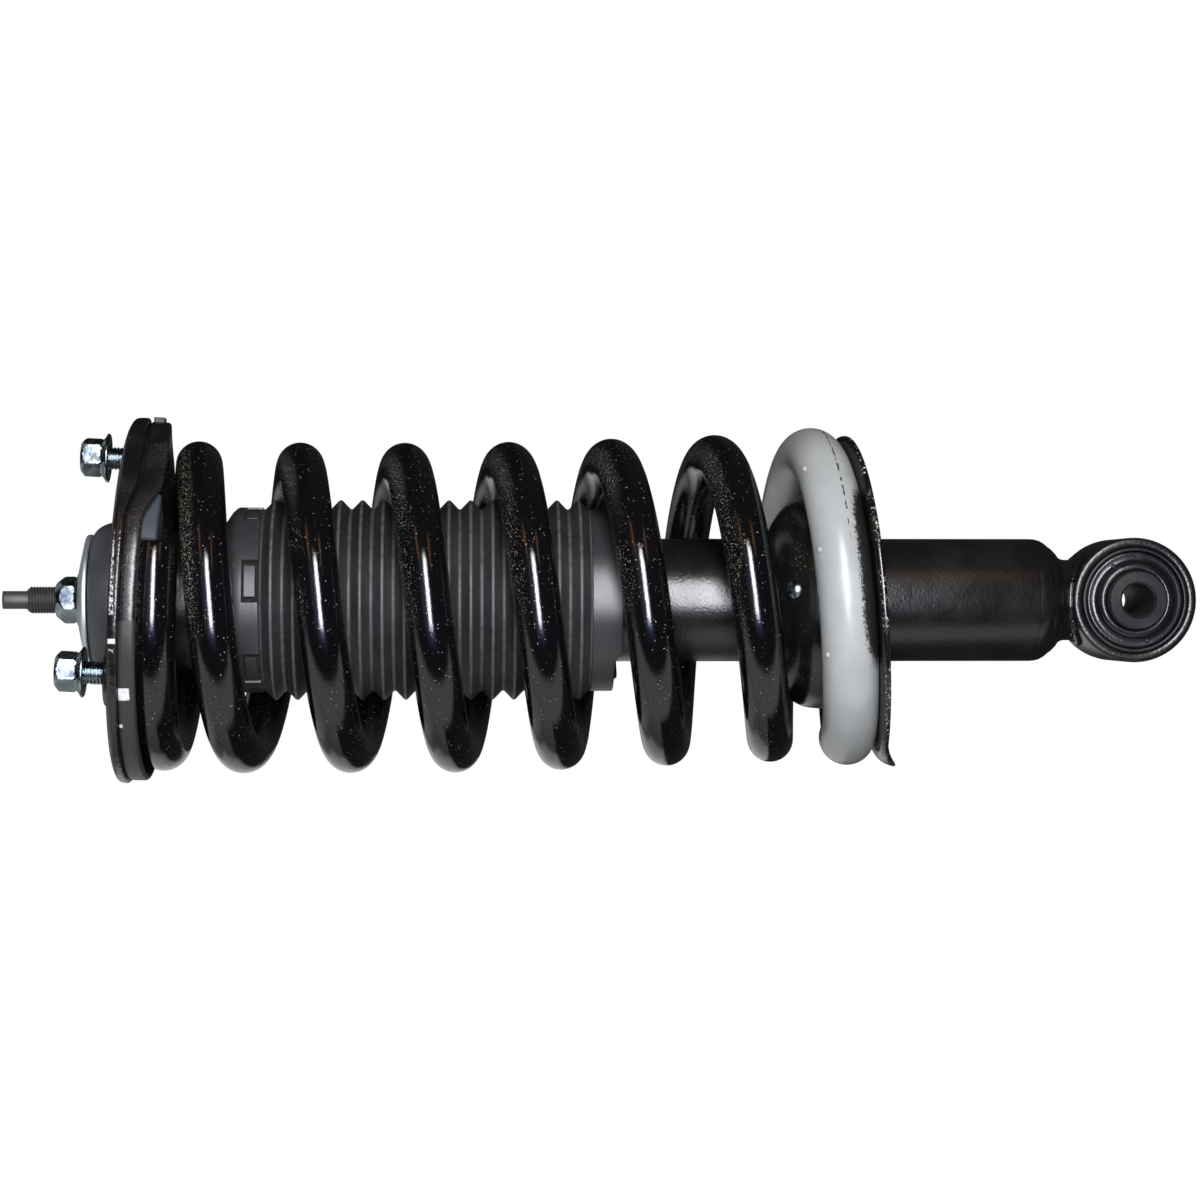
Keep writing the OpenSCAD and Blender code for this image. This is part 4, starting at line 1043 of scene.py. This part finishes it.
upper_cushion = make("dome_cushion", None, spun(dome_outline(), 160), cushion_rubber,
                     replaces=("upper_cushion",), wrap_rows=True, sharp=50)
lower_cushion = make("under_cushion", None, spun(filleted(under_outline(), 1.2), 120), cushion_rubber,
                     replaces=("lower_cushion",), wrap_rows=True, sharp=50)


def dip(deg):
    """0 to 1 to 0 with the angle: how far the mount's edge is drawn down past the wire's end."""
    return smooth((deg + 64.5) / 16) * (1 - smooth((deg + 43) / 75))


def plate_points(count=720):
    """The pressed plate: hub bead, flat, rounded shoulder and turned-down rim, deeper past the wire's end."""
    deg = np.arange(count) / count * 360 - 180
    rim = PLATE_RIM - 0.6 + 4 * dip(deg)
    r = PLATE_R
    return in_mount(softened(revolved([
        (PLATE_HOLE_R, 0), (HUB_R - 2, 0), (HUB_R, 1.6), (HUB_R + 3.2, 1.6), (HUB_R + 5.2, 0), (r - 5, 0),
        (r - 2.6, -0.2), (r - 0.4, -1.4), (r, -3.2), (r, -rim + 0.4), (r - 0.6, -rim - 0.1),
        (r - 2.4, -rim - 0.1), (r - PLATE_SHEET, -rim + 0.4), (r - PLATE_SHEET, -4.2),
        (r - 4.4, -PLATE_SHEET), (PLATE_HOLE_R, -PLATE_SHEET)], np.radians(deg)), 1))


make("pressed_plate", "top_mount", plate_points(), plate_paint, replaces=("mount_plate",),
     wrap_rows=True, sharp=40)


def pad_points(spot):
    """A low round boss: rings that fall away to the plate in a smooth skirt."""
    angle = np.arange(96) / 96 * TURN
    radii = np.array([15.5, 14.6, 13.8, 13.2, 12.6, 5.5])
    heights = np.array([-0.5, 0.15, 0.9, 1.35, PAD_HEIGHT, PAD_HEIGHT])
    return in_mount(stacked(radii[:, None] * np.ones_like(angle), angle, heights) + spot)


join("stud_bosses", "top_mount", [pad_points(s) for s in stud_spots()], plate_paint, sharp=50)


def insulator_points(count=720):
    """The rubber ring: a flat pad and a skirt whose edges dip past the wire's end."""
    deg = np.arange(count) / count * 360 - 180
    near = np.maximum(0, np.cos(np.radians(deg + 90))) ** 2
    low = PAD_BOTTOM - INSULATOR_SKIRT + 1.2 * near - INSULATOR_DROP * dip(deg)
    top = -PLATE_RIM + 0.3 - 5.2 * dip(deg)
    inner = COIL_R + WIRE_R + 2.9
    outer = PLATE_R - 1.5
    return in_mount(softened(revolved([
        (HUB_R - 1, PAD_BOTTOM), (HUB_R - 1, -PLATE_SHEET - 0.1), (PLATE_R - 3.8, -PLATE_SHEET - 0.1),
        (PLATE_R - 3.8, top),
        (outer - 0.6, top), (outer, top - 0.6), (outer, low + 1.6), (outer - 0.5, low + 0.4),
        (outer - 1.6, low), (inner + 0.4, low), (inner, low + 0.6), (inner, PAD_BOTTOM - 0.2),
        (inner - 0.4, PAD_BOTTOM)], np.radians(deg)), 1))


make("rubber_seat", "top_mount", insulator_points(), insulator_rubber,
     replaces=("spring_insulator",), wrap_rows=True, sharp=50)


def sector_block(start, stop, inner, outer, low, high, edge=0.8, count=24):
    """A block bent round the axis with bevelled edges: its section shrinks over the first and last step."""
    deg = np.concatenate([[start, start + 0.6], np.linspace(start + 1, stop - 1, count), [stop - 0.6, stop]])
    shrink = np.zeros(len(deg))
    shrink[[0, -1]] = edge
    section = [(inner + edge, low), (outer - edge, low), (outer, low + edge), (outer, high), (inner, high),
               (inner, low + edge)]
    rings = revolved(section, np.radians(deg))
    middle = rings.mean(1, keepdims=True)
    return in_mount(middle + (rings - middle) * (1 - shrink / (outer - inner) * 2)[:, None, None])


wire_stop = sector_block(-69, -51, 54.3, 72.5, PAD_BOTTOM - 12, PAD_BOTTOM + 0.5)
rim_nub = sector_block(-3, 3, 76.5, 80.3, PAD_BOTTOM - 6.8, PAD_BOTTOM - 2, 0.4)
join("rubber_stop", "top_mount", [wire_stop, rim_nub], stop_rubber, sharp=30)

# ------------------------------------------------------------------ soft pieces inside

def bump_outline():
    """Four lobes, each bulging between two waists; the lowest is slimmer."""
    inner = ROD_R + 0.5
    bottom = BUMP_TOP - BUMP_LENGTH
    outline = [(inner, bottom), (16, bottom)]
    for i in range(4):
        foot = bottom + i * BUMP_LENGTH / 4
        waist, shoulder, belly = (19, 22.6, 23) if i == 0 else (21, 24.4, 25)
        outline += [(waist, foot + 1.5), (shoulder, foot + 5), (belly, foot + 8.25), (shoulder, foot + 11.5)]
    return outline + [(24, BUMP_TOP - 0.1), (inner, BUMP_TOP - 0.1)]


def seal_outline():
    """The oil seal: a block under the cap with a lip that reaches down and in to the rod."""
    inner = ROD_R + 0.1
    outer = TUBE_R - TUBE_WALL - 0.1
    return [(inner, SEAL_BOTTOM + 1.9), (ROD_R + 1.5, SEAL_BOTTOM), (outer, SEAL_BOTTOM), (outer, SEAL_TOP),
            (ROD_R + 2.5, SEAL_TOP), (inner, SEAL_TOP - 0.9)]


bump = make("foam_bump_stop", "rod", spun(filleted(bump_outline(), 0.8), 120), foam,
            replaces=("bump_stop",), wrap_rows=True, sharp=50)
make("lip_seal", "damper", spun(filleted(seal_outline(), 0.4), 120), cushion_rubber,
     replaces=("oil_seal",), wrap_rows=True, sharp=40)

# ------------------------------------------------------------------ pieces that keep their solids

KEPT = {
    bare_steel: ["base_valve_body", "pressure_tube", "rod_guide", "striker_cap", "rebound_stop", "piston",
                 "piston_nut", "lower_washer", "cushion_spacer"],
    bronze: ["base_valve_discs", "guide_bushing", "piston_band", "valve_discs"],
    tube_paint: ["bump_stop_cup"],
}
for look, names in KEPT.items():
    for name in names:
        nodes[name].data.materials.clear()
        nodes[name].data.materials.append(look)

# ------------------------------------------------------------------ soft pieces get their own meshes

for piece in (spring, sleeve, cover_pips):
    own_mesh(piece)
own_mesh(bellows)
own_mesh(bump)
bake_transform(upper_cushion)
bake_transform(lower_cushion)
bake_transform(bush)

# ------------------------------------------------------------------ floor, light and camera


def facing(side, up, forward, spot):
    """A world matrix whose X points to the side, whose Y points up and whose -Z looks forward."""
    turned = np.eye(4)
    turned[:3] = np.stack([side, up, -forward, spot], 1)
    return Matrix(turned.tolist())


def lamp(name, spot, aim, size_x, size_y, strength, colour=(1, 1, 1)):
    """A soft rectangular lamp; strength is its radiance, turned into watts by its area."""
    light = bpy.data.lights.new(name, "AREA")
    light.shape = "RECTANGLE"
    light.size = size_x
    light.size_y = size_y
    light.energy = strength * math.pi * size_x * size_y
    light.color = colour
    held = bpy.data.objects.new(name, light)
    bpy.context.scene.collection.objects.link(held)
    direction = np.array(aim, float) - np.array(spot, float)
    forward = direction / np.linalg.norm(direction)
    side = np.cross(forward, (0, 0, 1.0))
    side /= np.linalg.norm(side)
    up = np.cross(side, forward)
    held.matrix_world = facing(side, up, forward, spot)
    held.visible_camera = False


def ray_shares(shade):
    """Two masks: 1 for rays that look straight or through glass, and 1 for rays that a gloss mirrors."""
    seen = shade.node("LightPath", out="Is Camera Ray") + shade.node("LightPath", out="Is Transmission Ray")
    return seen, shade.node("LightPath", out="Is Glossy Ray")


def floor():
    """A pale floor under the eye: white to the camera, nearly dark to gloss, plain to all other light."""
    mesh = bpy.data.meshes.new("floor")
    low = -EYE_R * MM - 0.0003
    mesh.from_pydata([(-4, -0.05, low), (4, -0.05, low), (4, 6, low), (-4, 6, low)], [], [(0, 1, 2, 3)])
    shade = Shade(bpy.data.materials.new("pale_floor"))
    seen, gloss = ray_shares(shade)
    plain = shade.node("BsdfDiffuse", {}, {"Color": rgba(0.4, 0.4, 0.4)})
    white = shade.node("Emission", {}, {"Color": rgba(1, 1, 1), "Strength": 1.08})
    dim = shade.node("Emission", {}, {"Color": rgba(1, 1, 1), "Strength": 0.03})
    shown = shade.node("MixShader", {}, {0: gloss, 1: white, 2: dim})
    mixed = shade.node("MixShader", {}, {0: seen * 0.93 + gloss, 1: plain, 2: shown})
    shade.tree.links.new(mixed.socket, shade.node_output())
    mesh.materials.append(shade.owner)
    piece = bpy.data.objects.new("floor", mesh)
    bpy.context.scene.collection.objects.link(piece)


def studio_world():
    """White to the camera, bright behind and below the strut for what mirrors it, dim elsewhere."""
    world = bpy.data.worlds.new("studio")
    bpy.context.scene.world = world
    shade = Shade(world)
    seen, gloss = ray_shares(shade)
    ray = shade.node("TexCoord", out="Generated")
    x, y, z = (shade.node("SeparateXYZ", {}, {"Vector": ray}, out=name) for name in "XYZ")
    table = (x * -1).over(0.12, 0.25) * (y + x * -0.775).over(-0.03, 0.03)
    left = z.between((0.45, 0.55), (0.8, 0.9)) * y.over(0, 0.3) * 0.35
    near = table * (0.9 - y.over(-0.3, 0.6) * 0.65)
    strength = seen + gloss * (near + left + 0.01) + (1 - seen - gloss) * (table * 0.4 + 0.13)
    sky = shade.node("Background", {}, {"Color": rgba(1, 1, 1), "Strength": strength})
    shade.tree.links.new(sky.socket, shade.tree.nodes.new("ShaderNodeOutputWorld").inputs["Surface"])


floor()
studio_world()
lamp("key", (0.28, -1.4, 0.22), (0, 0, 0.23), 1.25, 0.34, 28)
lamp("halo", (0.14, -1.45, 0.24), (0, 0, 0.23), 1.25, 0.6, 1.8, (0.35, 0.42, 1))
lamp("rim", (0, -1.5, 0.24), (0, 0, 0.23), 1.4, 0.95, 0.5, (0.35, 0.42, 1))
for shift in (-0.62, 0.62):
    lamp("beam", (0.95, -0.95, 0.23 + shift), (0, 0, 0.23), 0.55, 0.1, 2.6, (1, 0.5, 0.2))
lamp("wide", (0.25, -1.6, 0.5), (0, 0, 0.22), 1.6, 1.2, 0.3)
lamp("back", (-0.9, 1.5, 0.5), (0, 0, 0.25), 1.6, 0.9, 0.5)

CAMERA_FAR = 1.32
VIEW_WIDTH = 0.528
YAW = math.radians(2.59)
CENTRE = np.array([0, 0, 0.2324])


def add_camera():
    """Looks square at the strut from the -Y side, with +X up in the picture and +Z to the left."""
    forward = np.array([0, math.cos(YAW), -math.sin(YAW)])
    up = np.array([1.0, 0, 0])
    right = np.cross(forward, up)
    spot = CENTRE - forward * CAMERA_FAR
    camera = bpy.data.objects.new("camera", bpy.data.cameras.new("camera"))
    bpy.context.scene.collection.objects.link(camera)
    camera.matrix_world = facing(right, up, forward, spot)
    camera.data.sensor_fit = "HORIZONTAL"
    camera.data.angle = 2 * math.atan(VIEW_WIDTH / 2 / CAMERA_FAR)
    camera.data.clip_start = 0.05
    camera.data.clip_end = 50
    bpy.context.scene.camera = camera


add_camera()
bpy.context.scene.view_settings.view_transform = "Standard"
